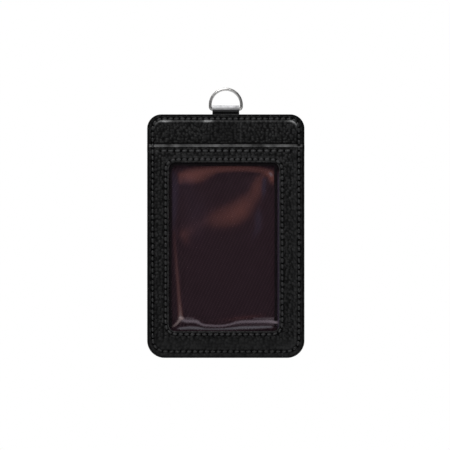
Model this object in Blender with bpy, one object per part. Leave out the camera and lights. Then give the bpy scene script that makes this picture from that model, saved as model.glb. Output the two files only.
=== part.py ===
"""Badge holder: a flat stitched leather sleeve with a clear window, hung from a wire D-ring.

The frame is upright, with +Z up, +X to the right of someone who looks at the window, and -Y out of
the window. The origin is the underside of the ring's bow, where a lanyard's hook carries the holder.
The layers are counted outwards from the middle of the core board, on the front and on the back alike.
"""

import math

import bmesh
import bpy
from mathutils import Vector

mm = 0.001

# Case outline
case_width = 72.0 * mm
case_height = 111.5 * mm
top_corner_radius = 6.5 * mm
bottom_corner_radius = 8.0 * mm
band_height = 13.5 * mm  # from the case's top edge down to the mouth of both pockets

# Layers
lining_thickness = 0.25 * mm
leather_thickness = 0.6 * mm
film_thickness = 0.25 * mm
layer_gap = 0.3 * mm
card_room = 0.85 * mm  # a plastic card is 0.76 mm thick
edge_rounding = 0.3 * mm
band_tail = 3.0 * mm  # how far the band runs on below the mouth

# Window, measured in from the case's edges and from the mouth
window_margin_left = 9.95 * mm
window_margin_right = 11.65 * mm
window_margin_top = 8.6 * mm
window_margin_bottom = 12.3 * mm
window_corner_radius = 3.0 * mm
film_margin = 3.5 * mm

# Pocket panels
rim_width = 3.8 * mm  # flat edge that the seam runs through
rim_slope = 1.6 * mm  # run of the step from the rim up to the raised middle
crease_below_mouth = 1.4 * mm
crease_width = 0.8 * mm
crease_depth = 0.2 * mm
notch_width = 20.0 * mm
notch_depth = 9.0 * mm

# Seams
thread_width = 0.5 * mm
thread_height = 0.4 * mm
thread_gap = 0.3 * mm
thread_rise = 0.12 * mm  # how far each stitch stands up between its two holes
groove_depth = 0.3 * mm
stitch_pitch = 2.7 * mm
mouth_stitch_pitch = 3.2 * mm
seam_inset_side = 2.55 * mm
seam_inset_top = 2.0 * mm
seam_inset_bottom = 3.0 * mm
window_seam_offset = 1.45 * mm
mouth_seam_below = 3.1 * mm
step_clearance = 0.35 * mm  # the seam climbs onto a pocket panel this far above its edge
step_run = 0.65 * mm

# Ring and strap
ring_wire = 1.4 * mm
ring_inner_width = 12.9 * mm
ring_shoulder = 2.05 * mm  # height of the bow's centre above the bar
ring_corner_radius = 1.2 * mm
strap_side_play = 0.3 * mm
strap_thickness = 0.65 * mm
strap_play = 0.5 * mm  # room between the bar and the strap that goes round it
strap_split = 0.1 * mm
strap_neck_radius = 0.8 * mm
strap_tail = 18.0 * mm
case_below_bar = 2.35 * mm

overrun = 1.0 * mm  # how far a cutter passes the face that it cuts

# Counts
corner_steps = 6
seam_steps = 16
ring_steps = 36
ring_sides = 12
strap_steps = 18
notch_steps = 12
quarter_turn = math.pi / 2

# Heights, worked out downwards from the ring
ring_radius = (ring_inner_width + ring_wire) / 2
bow_z = ring_wire / 2 - ring_radius
bar_z = bow_z - ring_shoulder
case_top = bar_z - case_below_bar
case_bottom = case_top - case_height
case_right = case_width / 2
mouth_z = case_top - band_height
band_bottom = mouth_z - band_tail
window_top = mouth_z - window_margin_top
window_bottom = case_bottom + window_margin_bottom
window_left = window_margin_left - case_right
window_right = case_right - window_margin_right

# Distances of the faces from the middle of the core, alike on the front and the back
core_face = strap_thickness + strap_split / 2  # the board is as thick as the strap's two legs
base_inner = core_face + layer_gap
lining_face = base_inner + lining_thickness
base_face = base_inner + leather_thickness
rim_inner = base_face + layer_gap
rim_face = rim_inner + leather_thickness
film_inner = lining_face + card_room
film_face = film_inner + film_thickness
middle_inner = film_face + layer_gap
middle_face = middle_inner + leather_thickness
front, back = -1, 1

# Insets from the case's outline, and half widths
core_inset = leather_thickness + layer_gap
middle_inset = rim_width + rim_slope
strap_half = ring_inner_width / 2 - strap_side_play
groove_half = thread_width / 2 + thread_gap
mouth_seam_end = case_right - middle_inset - groove_half


def make_material(name, colour, roughness, metallic=0.0, alpha=1.0):
    material = bpy.data.materials.new(name)
    material.use_nodes = True
    shader = material.node_tree.nodes["Principled BSDF"]
    shader.inputs["Base Color"].default_value = (*colour, 1.0)
    shader.inputs["Roughness"].default_value = roughness
    shader.inputs["Metallic"].default_value = metallic
    shader.inputs["Alpha"].default_value = alpha
    return material


def make_materials():
    return {
        "leather": make_material("black_leather", (0.012, 0.012, 0.013), 0.5),
        "lining": make_material("brown_black_twill", (0.022, 0.012, 0.016), 0.8),
        "film": make_material("clear_film", (0.85, 0.82, 0.84), 0.1, alpha=0.2),
        "board": make_material("grey_board", (0.25, 0.24, 0.22), 0.9),
        "thread": make_material("black_thread", (0.02, 0.02, 0.02), 0.6),
        "steel": make_material("bright_steel", (0.78, 0.77, 0.75), 0.15, metallic=1.0),
    }


def arc_points(centre, radius, start, end, steps):
    """Points on an arc in a plane whose second axis is Z, with angles from the first axis towards Z."""
    turns = [start + (end - start) * i / steps for i in range(steps + 1)]
    return [(centre[0] + radius * math.cos(a), centre[1] + radius * math.sin(a)) for a in turns]


def rounded_outline(left, right, bottom, top, bottom_radius, top_radius, steps=corner_steps):
    """(x, z) points once round a rectangle, with an arc at each corner whose radius isn't zero."""
    corners = (
        (right, bottom, -1, 1, bottom_radius),
        (right, top, -1, -1, top_radius),
        (left, top, 1, -1, top_radius),
        (left, bottom, 1, 1, bottom_radius),
    )
    points = []
    for corner, (x, z, inward_x, inward_z, radius) in enumerate(corners):
        if radius <= 0:
            points.append((x, z))
            continue
        centre = (x + inward_x * radius, z + inward_z * radius)
        start = (corner - 1) * quarter_turn
        points += arc_points(centre, radius, start, start + quarter_turn, steps)
    return points


def case_outline(inset=0.0):
    """The case's outline, drawn in by an inset."""
    return rounded_outline(
        inset - case_right,
        case_right - inset,
        case_bottom + inset,
        case_top - inset,
        bottom_corner_radius - inset,
        top_corner_radius - inset,
    )


def seam_outline(grow=0.0, steps=corner_steps):
    """The line of the edge seam, which runs nearer to the case's edge at the top than at the bottom."""
    side = seam_inset_side - grow
    return rounded_outline(
        side - case_right,
        case_right - side,
        case_bottom + seam_inset_bottom - grow,
        case_top - seam_inset_top + grow,
        bottom_corner_radius - side,
        top_corner_radius - side,
        steps,
    )


def window_outline(grow=0.0, steps=corner_steps):
    radius = window_corner_radius + grow
    sides = (window_left - grow, window_right + grow, window_bottom - grow, window_top + grow)
    return rounded_outline(*sides, radius, radius, steps)


def at_depth(outline, y):
    return [Vector((x, y, z)) for x, z in outline]


def skin(name, loops, material, wrap=False):
    """One closed object through loops of equally many points: capped, or joined end to end."""
    mesh = bpy.data.meshes.new(name)
    shape = bmesh.new()
    rows = [[shape.verts.new(point) for point in loop] for loop in loops]
    pairs = list(zip(rows, rows[1:]))
    if wrap:
        pairs.append((rows[-1], rows[0]))
    for first, second in pairs:
        for i in range(len(first)):
            j = (i + 1) % len(first)
            shape.faces.new((first[i], first[j], second[j], second[i]))
    if not wrap:
        shape.faces.new(rows[0])
        shape.faces.new(rows[-1])
    bmesh.ops.recalc_face_normals(shape, faces=shape.faces)
    shape.to_mesh(mesh)
    shape.free()
    mesh.materials.append(material)
    made = bpy.data.objects.new(name, mesh)
    bpy.context.scene.collection.objects.link(made)
    return made


def plate(name, outline, y_one, y_two, material):
    return skin(name, [at_depth(outline, y_one), at_depth(outline, y_two)], material)


def block(name, left, right, bottom, top, y_one, y_two, material):
    outline = rounded_outline(left, right, bottom, top, 0.0, 0.0)
    return plate(name, outline, y_one, y_two, material)


def cut(piece, *tools):
    """Takes each tool out of the piece and hides the tool."""
    for tool in tools:
        tool.hide_render = True
        tool.display_type = "WIRE"
        tool.hide_set(True)
        boolean = piece.modifiers.new("cut_" + tool.name, "BOOLEAN")
        boolean.operation = "DIFFERENCE"
        boolean.solver = "EXACT"
        boolean.object = tool


def stations(points, spacing, closed):
    """(x, z, normal x, normal z) at even steps along a line, an even number of them per round or run."""
    line = points + points[:1] if closed else points
    lengths = [0.0]
    for (x0, z0), (x1, z1) in zip(line, line[1:]):
        lengths.append(lengths[-1] + math.hypot(x1 - x0, z1 - z0))
    steps = 2 * max(1, round(lengths[-1] / (2 * spacing)))
    found = []
    part = 0
    for i in range(steps if closed else steps + 1):
        along = lengths[-1] * i / steps
        while part < len(lengths) - 2 and lengths[part + 1] < along:
            part += 1
        (x0, z0), (x1, z1) = line[part], line[part + 1]
        length = lengths[part + 1] - lengths[part]
        share = (along - lengths[part]) / length
        normal_x, normal_z = (z1 - z0) / length, (x0 - x1) / length
        found.append((x0 + (x1 - x0) * share, z0 + (z1 - z0) * share, normal_x, normal_z))
    return found


def bar_section(x, z, normal_x, normal_z, width, y_one, y_two):
    """A rectangle across a line that runs in the plane of the case."""
    half = width / 2
    corners = ((-half, y_one), (half, y_one), (half, y_two), (-half, y_two))
    return [Vector((x + normal_x * out, y, z + normal_z * out)) for out, y in corners]


def stitched(line, side, face):
    """Thread sections along a line of stations: low at each hole, and raised between two holes."""
    sections = []
    for i, station in enumerate(line):
        foot = face - groove_depth + thread_gap + (thread_rise if i % 2 else 0.0)
        sections.append(bar_section(*station, thread_width, side * foot, side * (foot + thread_height)))
    return sections




def seam_arch(end_z):
    """The edge seam's line over the top, from the right side to the left, down to a height."""
    per_corner = seam_steps + 1
    points = seam_outline(0.0, seam_steps)[per_corner : 3 * per_corner]
    return [(points[0][0], end_z)] + points + [(points[-1][0], end_z)]


def seam_cup(end_z):
    """The edge seam's line under the bottom, from the left side to the right, up to a height."""
    per_corner = seam_steps + 1
    outline = seam_outline(0.0, seam_steps)
    points = outline[3 * per_corner :] + outline[:per_corner]
    return [(points[0][0], end_z)] + points + [(points[-1][0], end_z)]


def edge_thread(name, side, material):
    """One thread all round the case, over the band and, a step higher, over the pocket's rim."""
    arch = stations(seam_arch(mouth_z + step_clearance + step_run), stitch_pitch / 2, False)
    cup = stations(seam_cup(mouth_z + step_clearance), stitch_pitch / 2, False)
    sections = stitched(arch, side, base_face) + stitched(cup, side, rim_face)
    return skin(name, sections, material, wrap=True)


def grooved(outline, middle, face):
    """(loop, depth) pairs from outside inwards, over a seam's groove that lies a way out from an outline."""
    floor = face - groove_depth
    return [
        (outline(middle + groove_half), face),
        (outline(middle + groove_half), floor),
        (outline(middle - groove_half), floor),
        (outline(middle - groove_half), face),
    ]


def leather_edge(face):
    """(loop, depth) pairs from a leather's cut edge in to its seam's far side."""
    return [
        (case_outline(), face - edge_rounding),
        (case_outline(edge_rounding), face),
    ] + grooved(seam_outline, 0.0, face)


def placed(steps, side):
    return [at_depth(loop, side * depth) for loop, depth in steps]


def across(name, bottom, top, side, y_one, y_two, material):
    """A cutter that takes out all between two heights and two depths, right across the case."""
    return block(name, -case_width, case_width, bottom, top, side * y_one, side * y_two, material)


def make_back_panel(materials):
    """The back's leather, turned over the core board's edge, with a slot where the strap comes out."""
    leather = materials["leather"]
    turned_edge = [
        (case_outline(leather_thickness), base_inner),
        (case_outline(leather_thickness), -core_face),
        (case_outline(), -core_face),
    ]
    panel = skin("back_panel", placed(turned_edge + leather_edge(base_face), back), leather)
    slot_right = strap_half + layer_gap
    slot = block(
        "strap_exit",
        -slot_right,
        slot_right,
        case_top - leather_thickness - overrun,
        case_top + overrun,
        front * (core_face + overrun),
        back * base_inner,
        leather,
    )
    cut(panel, slot)


def make_front_band(materials):
    """The band across the top of the front, which the pocket's panel overlaps."""
    leather = materials["leather"]
    steps = [(case_outline(), base_inner)] + leather_edge(base_face)
    band = skin("front_band", placed(steps, front), leather)
    bottom = case_bottom - overrun
    depths = (base_inner - overrun, base_face + overrun)
    cut(band, across("below_band", bottom, band_bottom, front, *depths, leather))


def make_front_panel(materials):
    """The front of the card's pocket: a flat rim, a raised middle and the window, open at the mouth."""
    leather = materials["leather"]
    rise = [(case_outline(rim_width), rim_face), (case_outline(middle_inset), middle_face)]
    window = [
        (window_outline(edge_rounding), middle_face),
        (window_outline(), middle_face - edge_rounding),
        (window_outline(), middle_inner),
    ]
    inside = [
        (case_outline(middle_inset), middle_inner),
        (case_outline(rim_width), rim_inner),
        (case_outline(rim_width), base_inner),
        (case_outline(), base_inner),
    ]
    window_groove = grooved(window_outline, window_seam_offset, middle_face)
    steps = leather_edge(rim_face) + rise + window_groove + window + inside
    panel = skin("front_panel", placed(steps, front), leather, wrap=True)

    top = case_top + overrun
    inner, outer = base_inner - overrun, middle_face + overrun
    open_mouth = across("front_mouth", mouth_z, top, front, inner, outer, leather)
    over_band = across("over_band", band_bottom - layer_gap, top, front, inner, rim_inner, leather)
    crease_top = mouth_z - crease_below_mouth
    crease_floor = middle_face - crease_depth
    crease = across("crease", crease_top - crease_width, crease_top, front, crease_floor, outer, leather)
    seam_z = mouth_z - mouth_seam_below
    mouth_groove = block(
        "mouth_groove",
        -mouth_seam_end - thread_gap,
        mouth_seam_end + thread_gap,
        seam_z - groove_half,
        seam_z + groove_half,
        front * (middle_face - groove_depth),
        front * outer,
        leather,
    )
    cut(panel, open_mouth, over_band, crease, mouth_groove)


def make_back_pocket(materials):
    """The back's card pocket, raised like the front one, with a thumb notch in its mouth."""
    leather = materials["leather"]
    inside = [
        (case_outline(middle_inset), middle_inner),
        (case_outline(rim_width), rim_inner),
        (case_outline(), rim_inner),
    ]
    rise = [(case_outline(rim_width), rim_face), (case_outline(middle_inset), middle_face)]
    pocket = skin("back_pocket", placed(inside + leather_edge(rim_face) + rise, back), leather)
    outer = middle_face + overrun
    open_mouth = across("back_mouth", mouth_z, case_top + overrun, back, base_face, outer, leather)
    half = notch_width / 2
    turns = [math.pi * i / notch_steps for i in range(notch_steps + 1)]
    outline = [(half, mouth_z + overrun)]
    outline += [(half * math.cos(turn), mouth_z - notch_depth * math.sin(turn)) for turn in turns]
    outline += [(-half, mouth_z + overrun)]
    cut(pocket, open_mouth, plate("thumb_notch", outline, back * base_face, back * outer, leather))


def make_film(materials):
    outline = window_outline(film_margin)
    plate("window_film", outline, front * film_inner, front * film_face, materials["film"])


def make_lining(materials):
    inset = rim_width + layer_gap
    outline = rounded_outline(
        inset - case_right,
        case_right - inset,
        case_bottom + inset,
        band_bottom - layer_gap,
        bottom_corner_radius - inset,
        0.0,
    )
    plate("pocket_lining", outline, front * base_inner, front * lining_face, materials["lining"])


def make_core(materials):
    outline = case_outline(core_inset)
    core = plate("core_board", outline, front * core_face, back * core_face, materials["board"])
    slot_right = strap_half + layer_gap
    slot = block(
        "strap_slot",
        -slot_right,
        slot_right,
        case_top - strap_tail - layer_gap,
        case_top + overrun,
        front * (core_face + overrun),
        back * (core_face + overrun),
        materials["board"],
    )
    cut(core, slot)


def strap_line():
    """(y, z) points along the middle of the strap, up the front leg, over the bar and down the back."""
    leg = (strap_thickness + strap_split) / 2
    loop = ring_wire / 2 + strap_play + strap_thickness / 2
    across = leg + strap_neck_radius
    down = math.sqrt((loop + strap_neck_radius) ** 2 - across**2)
    lean = math.atan2(down, across)
    neck_steps = strap_steps // 3
    tail = (-leg, case_top - strap_tail)
    neck = arc_points((-across, bar_z - down), strap_neck_radius, 0.0, lean, neck_steps)
    top = arc_points((0.0, bar_z), loop, math.pi + lean, math.pi / 2, strap_steps // 2)
    front_half = [tail] + neck + top[1:]
    return front_half + [(-y, z) for y, z in reversed(front_half[:-1])]


def offset_line(points, distance):
    """The line moved sideways, to its left, by a distance."""
    moved = []
    for i, (y, z) in enumerate(points):
        before, after = points[max(i - 1, 0)], points[min(i + 1, len(points) - 1)]
        run_y, run_z = after[0] - before[0], after[1] - before[1]
        length = math.hypot(run_y, run_z)
        moved.append((y - run_z / length * distance, z + run_y / length * distance))
    return moved


def make_strap(materials):
    line = strap_line()
    half = strap_thickness / 2
    outline = offset_line(line, half) + list(reversed(offset_line(line, -half)))
    ends = [[Vector((x, y, z)) for y, z in outline] for x in (-strap_half, strap_half)]
    skin("hanging_strap", ends, materials["leather"])


def ring_outline():
    """(x, z) points along the middle of the wire: a half round bow, short shoulders and a bar."""
    points = arc_points((0.0, bow_z), ring_radius, 0.0, math.pi, ring_steps)
    corner_x, corner_z = ring_radius - ring_corner_radius, bar_z + ring_corner_radius
    for side, start in ((-1, math.pi), (1, math.pi + quarter_turn)):
        centre = (side * corner_x, corner_z)
        points += arc_points(centre, ring_corner_radius, start, start + quarter_turn, corner_steps)
    return points


def make_ring(materials):
    outline = ring_outline()
    count = len(outline)
    sections = []
    for i, (x, z) in enumerate(outline):
        (x0, z0), (x1, z1) = outline[i - 1], outline[(i + 1) % count]
        length = math.hypot(x1 - x0, z1 - z0)
        normal_x, normal_z = (z1 - z0) / length, (x0 - x1) / length
        section = []
        for side in range(ring_sides):
            turn = 2 * math.pi * side / ring_sides
            out, y = ring_wire / 2 * math.cos(turn), ring_wire / 2 * math.sin(turn)
            section.append(Vector((x + normal_x * out, y, z + normal_z * out)))
        sections.append(section)
    ring = skin("d_ring", sections, materials["steel"], wrap=True)
    ring.data.shade_smooth()


def make_threads(materials):
    thread = materials["thread"]
    edge_thread("front_edge_thread", front, thread)
    edge_thread("back_edge_thread", back, thread)
    window_line = stations(window_outline(window_seam_offset, seam_steps), stitch_pitch / 2, True)
    skin("window_thread", stitched(window_line, front, middle_face), thread, wrap=True)
    mouth_ends = [(mouth_seam_end, mouth_z - mouth_seam_below), (-mouth_seam_end, mouth_z - mouth_seam_below)]
    mouth_line = stations(mouth_ends, mouth_stitch_pitch / 2, False)
    skin("mouth_thread", stitched(mouth_line, front, middle_face), thread)


def hinge_empty():
    """Marks the bar's middle, which the holder swings about, and carries the holder's pieces."""
    empty = bpy.data.objects.new("swing_axis", None)
    bpy.context.scene.collection.objects.link(empty)
    empty.location = (0.0, 0.0, bar_z)
    bpy.context.view_layer.update()
    for piece in bpy.data.objects:
        if piece not in (empty, bpy.data.objects["d_ring"]):
            piece.parent = empty
            piece.matrix_parent_inverse = empty.matrix_world.inverted()


def main():
    for old in list(bpy.data.objects):
        bpy.data.objects.remove(old, do_unlink=True)
    materials = make_materials()
    make_ring(materials)
    make_strap(materials)
    make_core(materials)
    make_back_panel(materials)
    make_back_pocket(materials)
    make_lining(materials)
    make_front_band(materials)
    make_front_panel(materials)
    make_film(materials)
    make_threads(materials)
    hinge_empty()


main()
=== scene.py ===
import math

import bmesh
import bpy
import numpy as np
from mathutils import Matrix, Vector


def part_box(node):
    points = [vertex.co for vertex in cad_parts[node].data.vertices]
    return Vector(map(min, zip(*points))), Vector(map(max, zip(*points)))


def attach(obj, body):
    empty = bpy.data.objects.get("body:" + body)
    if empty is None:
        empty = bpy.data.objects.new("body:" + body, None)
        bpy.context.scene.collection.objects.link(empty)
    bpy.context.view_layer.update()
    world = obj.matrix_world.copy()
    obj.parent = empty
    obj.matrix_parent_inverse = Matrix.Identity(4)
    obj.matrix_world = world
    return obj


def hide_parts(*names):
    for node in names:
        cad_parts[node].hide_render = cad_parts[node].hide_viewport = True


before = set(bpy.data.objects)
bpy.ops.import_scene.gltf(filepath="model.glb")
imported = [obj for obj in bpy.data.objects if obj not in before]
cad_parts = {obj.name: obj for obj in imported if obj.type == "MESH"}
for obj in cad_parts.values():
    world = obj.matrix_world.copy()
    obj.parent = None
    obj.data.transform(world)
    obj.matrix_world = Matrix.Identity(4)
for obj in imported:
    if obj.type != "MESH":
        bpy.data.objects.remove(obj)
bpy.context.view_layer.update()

mm = 0.001
front, back = -1, 1  # the side of the board that a piece lies on: y is side times distance from the middle

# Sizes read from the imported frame
panelLow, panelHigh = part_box("back_panel")
bandLow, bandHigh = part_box("front_band")
pocketLow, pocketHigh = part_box("front_panel")
filmLow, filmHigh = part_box("window_film")
liningLow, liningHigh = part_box("pocket_lining")
boardLow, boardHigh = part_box("core_board")
strapLow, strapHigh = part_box("hanging_strap")
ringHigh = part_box("d_ring")[1]

# Outline and seams of the case, which all the leathers share
case = {
    "topRadius": 6.5 * mm,
    "bottomRadius": 8.0 * mm,
    "seamSide": 2.55 * mm,  # how far the edge seam runs inside the outline
    "seamTop": 2.0 * mm,
    "seamBottom": 3.0 * mm,
    "stitchPitch": 2.7 * mm,
    "layerGap": boardLow.y - bandHigh.y,
    "leather": bandHigh.y - bandLow.y,
}
caseRight, caseLeft = panelHigh.x, panelLow.x
caseTop, caseBottom = panelHigh.z, panelLow.z
mouthZ = pocketHigh.z
bandBottom = bandLow.z
boardFace = boardHigh.y
bandFace = -bandLow.y
rimFace = bandFace + case["layerGap"] + case["leather"]
middleFace = -pocketLow.y
middleUnder = middleFace - case["leather"]
barZ = strapHigh.z - strapHigh.y  # the strap goes round the bar in a half circle as deep as it is high
farAbove = 2 * caseTop - caseBottom  # stands for the top of an outline that has none

# Window, inside the film's edge
window = {"filmMargin": 3.5 * mm, "radius": 3.0 * mm, "seamOffset": 1.45 * mm, "pull": 0.85}
windowSides = (
    filmLow.x + window["filmMargin"],
    filmHigh.x - window["filmMargin"],
    filmLow.z + window["filmMargin"],
    filmHigh.z - window["filmMargin"],
)
caseSides = (caseLeft, caseRight, caseBottom, caseTop)
openSides = (caseLeft, caseRight, caseBottom, farAbove)
pocketSides = (caseLeft, caseRight, caseBottom, mouthZ)


# Shapes in the plane of the case
def smooth(value, low, high):  # 0 below low, 1 above high, and an easy curve between
    share = np.clip((value - low) / (high - low), 0.0, 1.0)
    return share * share * (3 - 2 * share)


def bell(value, width):  # 1 at zero, and fading out over about twice the width
    return np.exp(-((value / width) ** 2))


def ridge(form, value):  # from its height, place and half width
    height, place, width = form
    return height * bell(value - place, width)


def drawnIn(sides, amount):
    left, right, bottom, top = sides
    return (left + amount, right - amount, bottom + amount, top - amount)


def depthInside(x, z, sides, topRadius, bottomRadius):  # how far a point lies inside a rounded outline
    left, right, bottom, top = sides
    up = z - (bottom + top) / 2
    radius = np.where(up > 0, topRadius, bottomRadius)
    pastX = abs(x - (left + right) / 2) - (right - left) / 2 + radius
    pastZ = abs(up) - (top - bottom) / 2 + radius
    corner = np.hypot(np.maximum(pastX, 0), np.maximum(pastZ, 0))
    return radius - corner - np.minimum(np.maximum(pastX, pastZ), 0)


def pocketDepth(x, z):  # how far inside the case's sides and bottom
    return depthInside(x, z, openSides, case["topRadius"], case["bottomRadius"])


def windowDepth(x, z):
    return depthInside(x, z, windowSides, window["radius"], window["radius"])


def roundedLoop(sides, topRadius, bottomRadius, steps):  # the same number of points whatever the size
    left, right, bottom, top = sides
    corners = (
        (right - topRadius, top - topRadius, topRadius, steps["topCorner"]),
        (left + topRadius, top - topRadius, topRadius, steps["topCorner"]),
        (left + bottomRadius, bottom + bottomRadius, bottomRadius, steps["bottomCorner"]),
        (right - bottomRadius, bottom + bottomRadius, bottomRadius, steps["bottomCorner"]),
    )
    arcs = []
    for quarter, (x, z, radius, count) in enumerate(corners):
        turn = (quarter + np.linspace(0, 1, count + 1)) * math.pi / 2
        arcs.append(np.stack((x + radius * np.cos(turn), z + radius * np.sin(turn)), 1))
    loop = []
    for i, count in enumerate((steps["across"], steps["up"], steps["across"], steps["up"])):
        straight = np.linspace(arcs[i][-1], arcs[(i + 1) % 4][0], count + 1)[1:-1]
        loop += [arcs[i], straight]
    return np.concatenate(loop)


def spread(loops):  # x and z of all the points, with a row for each loop
    points = np.stack(loops)
    return points[:, :, 0], points[:, :, 1]


def joined(points, closed):  # the line's points, with the first again at the end where it is closed
    return np.concatenate((points, points[:1])) if closed else points


def evenly(points, count, closed):  # points at even steps along a line
    line = joined(points, closed)
    lengths = np.concatenate(([0.0], np.cumsum(np.linalg.norm(np.diff(line, axis=0), axis=1))))
    along = np.linspace(0, lengths[-1], count + 1)
    placed = np.stack([np.interp(along, lengths, line[:, i]) for i in range(line.shape[1])], 1)
    return placed[:-1] if closed else placed


def lineLength(points, closed):
    return float(np.linalg.norm(np.diff(joined(points, closed), axis=0), axis=1).sum())


lumpWaves = {"count": 9, "sizes": (0.6, 1.6), "divisor": 4}


def lumps(x, z, size, seed):  # gentle unevenness between about -1 and 1
    draw = np.random.default_rng(seed)
    total = np.zeros_like(x)
    for i in range(lumpWaves["count"]):
        turn = draw.uniform(0, 2 * math.pi)
        wave = size * draw.uniform(*lumpWaves["sizes"])
        phase = draw.uniform(0, 2 * math.pi)
        total += np.sin((x * math.cos(turn) + z * math.sin(turn)) * 2 * math.pi / wave + phase)
    return total / lumpWaves["divisor"]


# Objects and meshes
def addObject(name, data):
    made = bpy.data.objects.new(name, data)
    bpy.context.scene.collection.objects.link(made)
    return made


def addPiece(name, vertices, faces, material, attributes=None):
    mesh = bpy.data.meshes.new(name)
    mesh.from_pydata(vertices.tolist(), [], faces)
    shape = bmesh.new()
    shape.from_mesh(mesh)
    bmesh.ops.recalc_face_normals(shape, faces=shape.faces)
    shape.to_mesh(mesh)
    shape.free()
    mesh.shade_smooth()
    for label, values in (attributes or {}).items():
        stored = mesh.attributes.new(label, "FLOAT", "POINT")
        stored.data.foreach_set("value", values.astype(np.float32))
    mesh.materials.append(material)
    return addObject(name, mesh)


def loopFaces(rows, around, wrap):  # quads between loops, joined end to end or capped
    starts = np.arange(around)
    ahead = (starts + 1) % around
    faces = []
    for row in range(rows if wrap else rows - 1):
        one, two = row * around, (row + 1) % rows * around
        faces += np.stack((one + starts, one + ahead, two + ahead, two + starts), 1).tolist()
    if not wrap:
        faces.append(starts.tolist())
        faces.append((starts + (rows - 1) * around).tolist())
    return faces


def addSkin(name, side, rows, wrap, material, attributes=None):  # rows of (loop, distance from the middle)
    vertices = [np.stack((loop[:, 0], side * out, loop[:, 1]), 1) for loop, out in rows]
    faces = loopFaces(len(rows), len(rows[0][0]), wrap)
    return addPiece(name, np.concatenate(vertices), faces, material, attributes)


def sweep(path, ahead, out, beside, wrap):  # a section carried along a flat path, turning with it
    ahead = ahead / np.linalg.norm(ahead, axis=1)[:, None]
    rings = [
        np.stack((at + rise * out, beside, z - run * out), 1) for (at, z), (run, rise) in zip(path, ahead)
    ]
    return np.concatenate(rings), loopFaces(len(rings), len(out), wrap)


# Node helpers
def fill(tree, node, inputs):  # a socket or a node is linked, and anything else is a plain value
    for name, value in inputs.items():
        if isinstance(value, bpy.types.Node):
            value = value.outputs[0]
        if isinstance(value, bpy.types.NodeSocket):
            tree.links.new(value, node.inputs[name])
        else:
            node.inputs[name].default_value = value


def addNode(tree, kind, inputs=None, **settings):
    made = tree.nodes.new(kind)
    for name, value in settings.items():
        setattr(made, name, value)
    fill(tree, made, inputs or {})
    return made


def addMath(tree, operation, one, two=None, clamp=False):
    inputs = {0: one} if two is None else {0: one, 1: two}
    return addNode(tree, "ShaderNodeMath", inputs, operation=operation, use_clamp=clamp).outputs[0]


def added(tree, one, two, clamp=False):
    return addMath(tree, "ADD", one, two, clamp)


def product(tree, one, two, clamp=False):
    return addMath(tree, "MULTIPLY", one, two, clamp)


def addVectors(tree, operation, one, two):
    return addNode(tree, "ShaderNodeVectorMath", {0: one, 1: two}, operation=operation).outputs[0]


def addRange(tree, value, low, high, newLow=0.0, newHigh=1.0):
    inputs = {"Value": value, "From Min": low, "From Max": high, "To Min": newLow, "To Max": newHigh}
    made = addNode(tree, "ShaderNodeMapRange", inputs, interpolation_type="SMOOTHSTEP")
    return made.outputs["Result"]


def addMix(tree, share, one, two):  # a colour between two colours
    return addNode(tree, "ShaderNodeMix", {0: share, 6: one, 7: two}, data_type="RGBA").outputs[2]


def addNoise(tree, place, scale, detail=2.0, distortion=0.0):
    inputs = {"Vector": place, "Scale": scale, "Detail": detail, "Distortion": distortion}
    return addNode(tree, "ShaderNodeTexNoise", inputs).outputs["Fac"]


def parted(tree, vector):  # its X, Y and Z
    return addNode(tree, "ShaderNodeSeparateXYZ", {"Vector": vector}).outputs


def millimetres(tree):  # object coordinates counted in millimetres
    place = addNode(tree, "ShaderNodeTexCoord").outputs["Object"]
    scaled = addNode(tree, "ShaderNodeMapping", {"Vector": place, "Scale": (1 / mm, 1 / mm, 1 / mm)})
    return scaled.outputs["Vector"]


def readAttribute(tree, name):
    return addNode(tree, "ShaderNodeAttribute", attribute_name=name).outputs["Fac"]


def spaced(inputs):  # socket names, which may hold spaces, from argument names
    return {name.replace("_", " "): value for name, value in inputs.items()}


def newMaterial(name, **plain):  # plain values are set on the shader's own sockets
    material = bpy.data.materials.new(name)
    material.use_nodes = True
    tree = material.node_tree
    shader = tree.nodes["Principled BSDF"]
    fill(tree, shader, spaced(plain))
    return material, tree, shader


def finishShader(tree, shader, colour, roughness, height, relief):
    bump = addNode(tree, "ShaderNodeBump", {"Height": height, "Distance": relief})
    fill(tree, shader, {"Base Color": colour, "Roughness": roughness, "Normal": bump})


def newGroup(name, inputs, outputs):
    group = bpy.data.node_groups.new(name, "ShaderNodeTree")
    for label, kind, value in inputs:
        socket = group.interface.new_socket(label, in_out="INPUT", socket_type=kind)
        if value is not None:
            socket.default_value = value
    for label in outputs:
        group.interface.new_socket(label, in_out="OUTPUT", socket_type="NodeSocketFloat")
    return group, group.nodes.new("NodeGroupInput").outputs, group.nodes.new("NodeGroupOutput")


def useGroup(tree, group, **inputs):
    return addNode(tree, "ShaderNodeGroup", spaced(inputs), node_tree=group).outputs


# Camera, where the photographer's was
cameraPlace = {
    "frameWidth": 205.6 * mm,  # what the picture spans at the holder
    "aim": (-0.37 * mm, -61.5 * mm),  # x and z of the middle of the picture
    "distance": 1.2,
    "sensor": 36.0,
    "clip": (0.01, 20.0),
}


def makeCamera():
    data = bpy.data.cameras.new("photoCamera")
    data.sensor_width = cameraPlace["sensor"]
    data.lens = cameraPlace["sensor"] * cameraPlace["distance"] / cameraPlace["frameWidth"]
    data.clip_start, data.clip_end = cameraPlace["clip"]
    camera = addObject("photoCamera", data)
    x, z = cameraPlace["aim"]
    camera.location = (x, -middleFace - cameraPlace["distance"], z)
    camera.rotation_euler = (math.pi / 2, 0, 0)
    bpy.context.scene.camera = camera
    print("camera placed")


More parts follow.
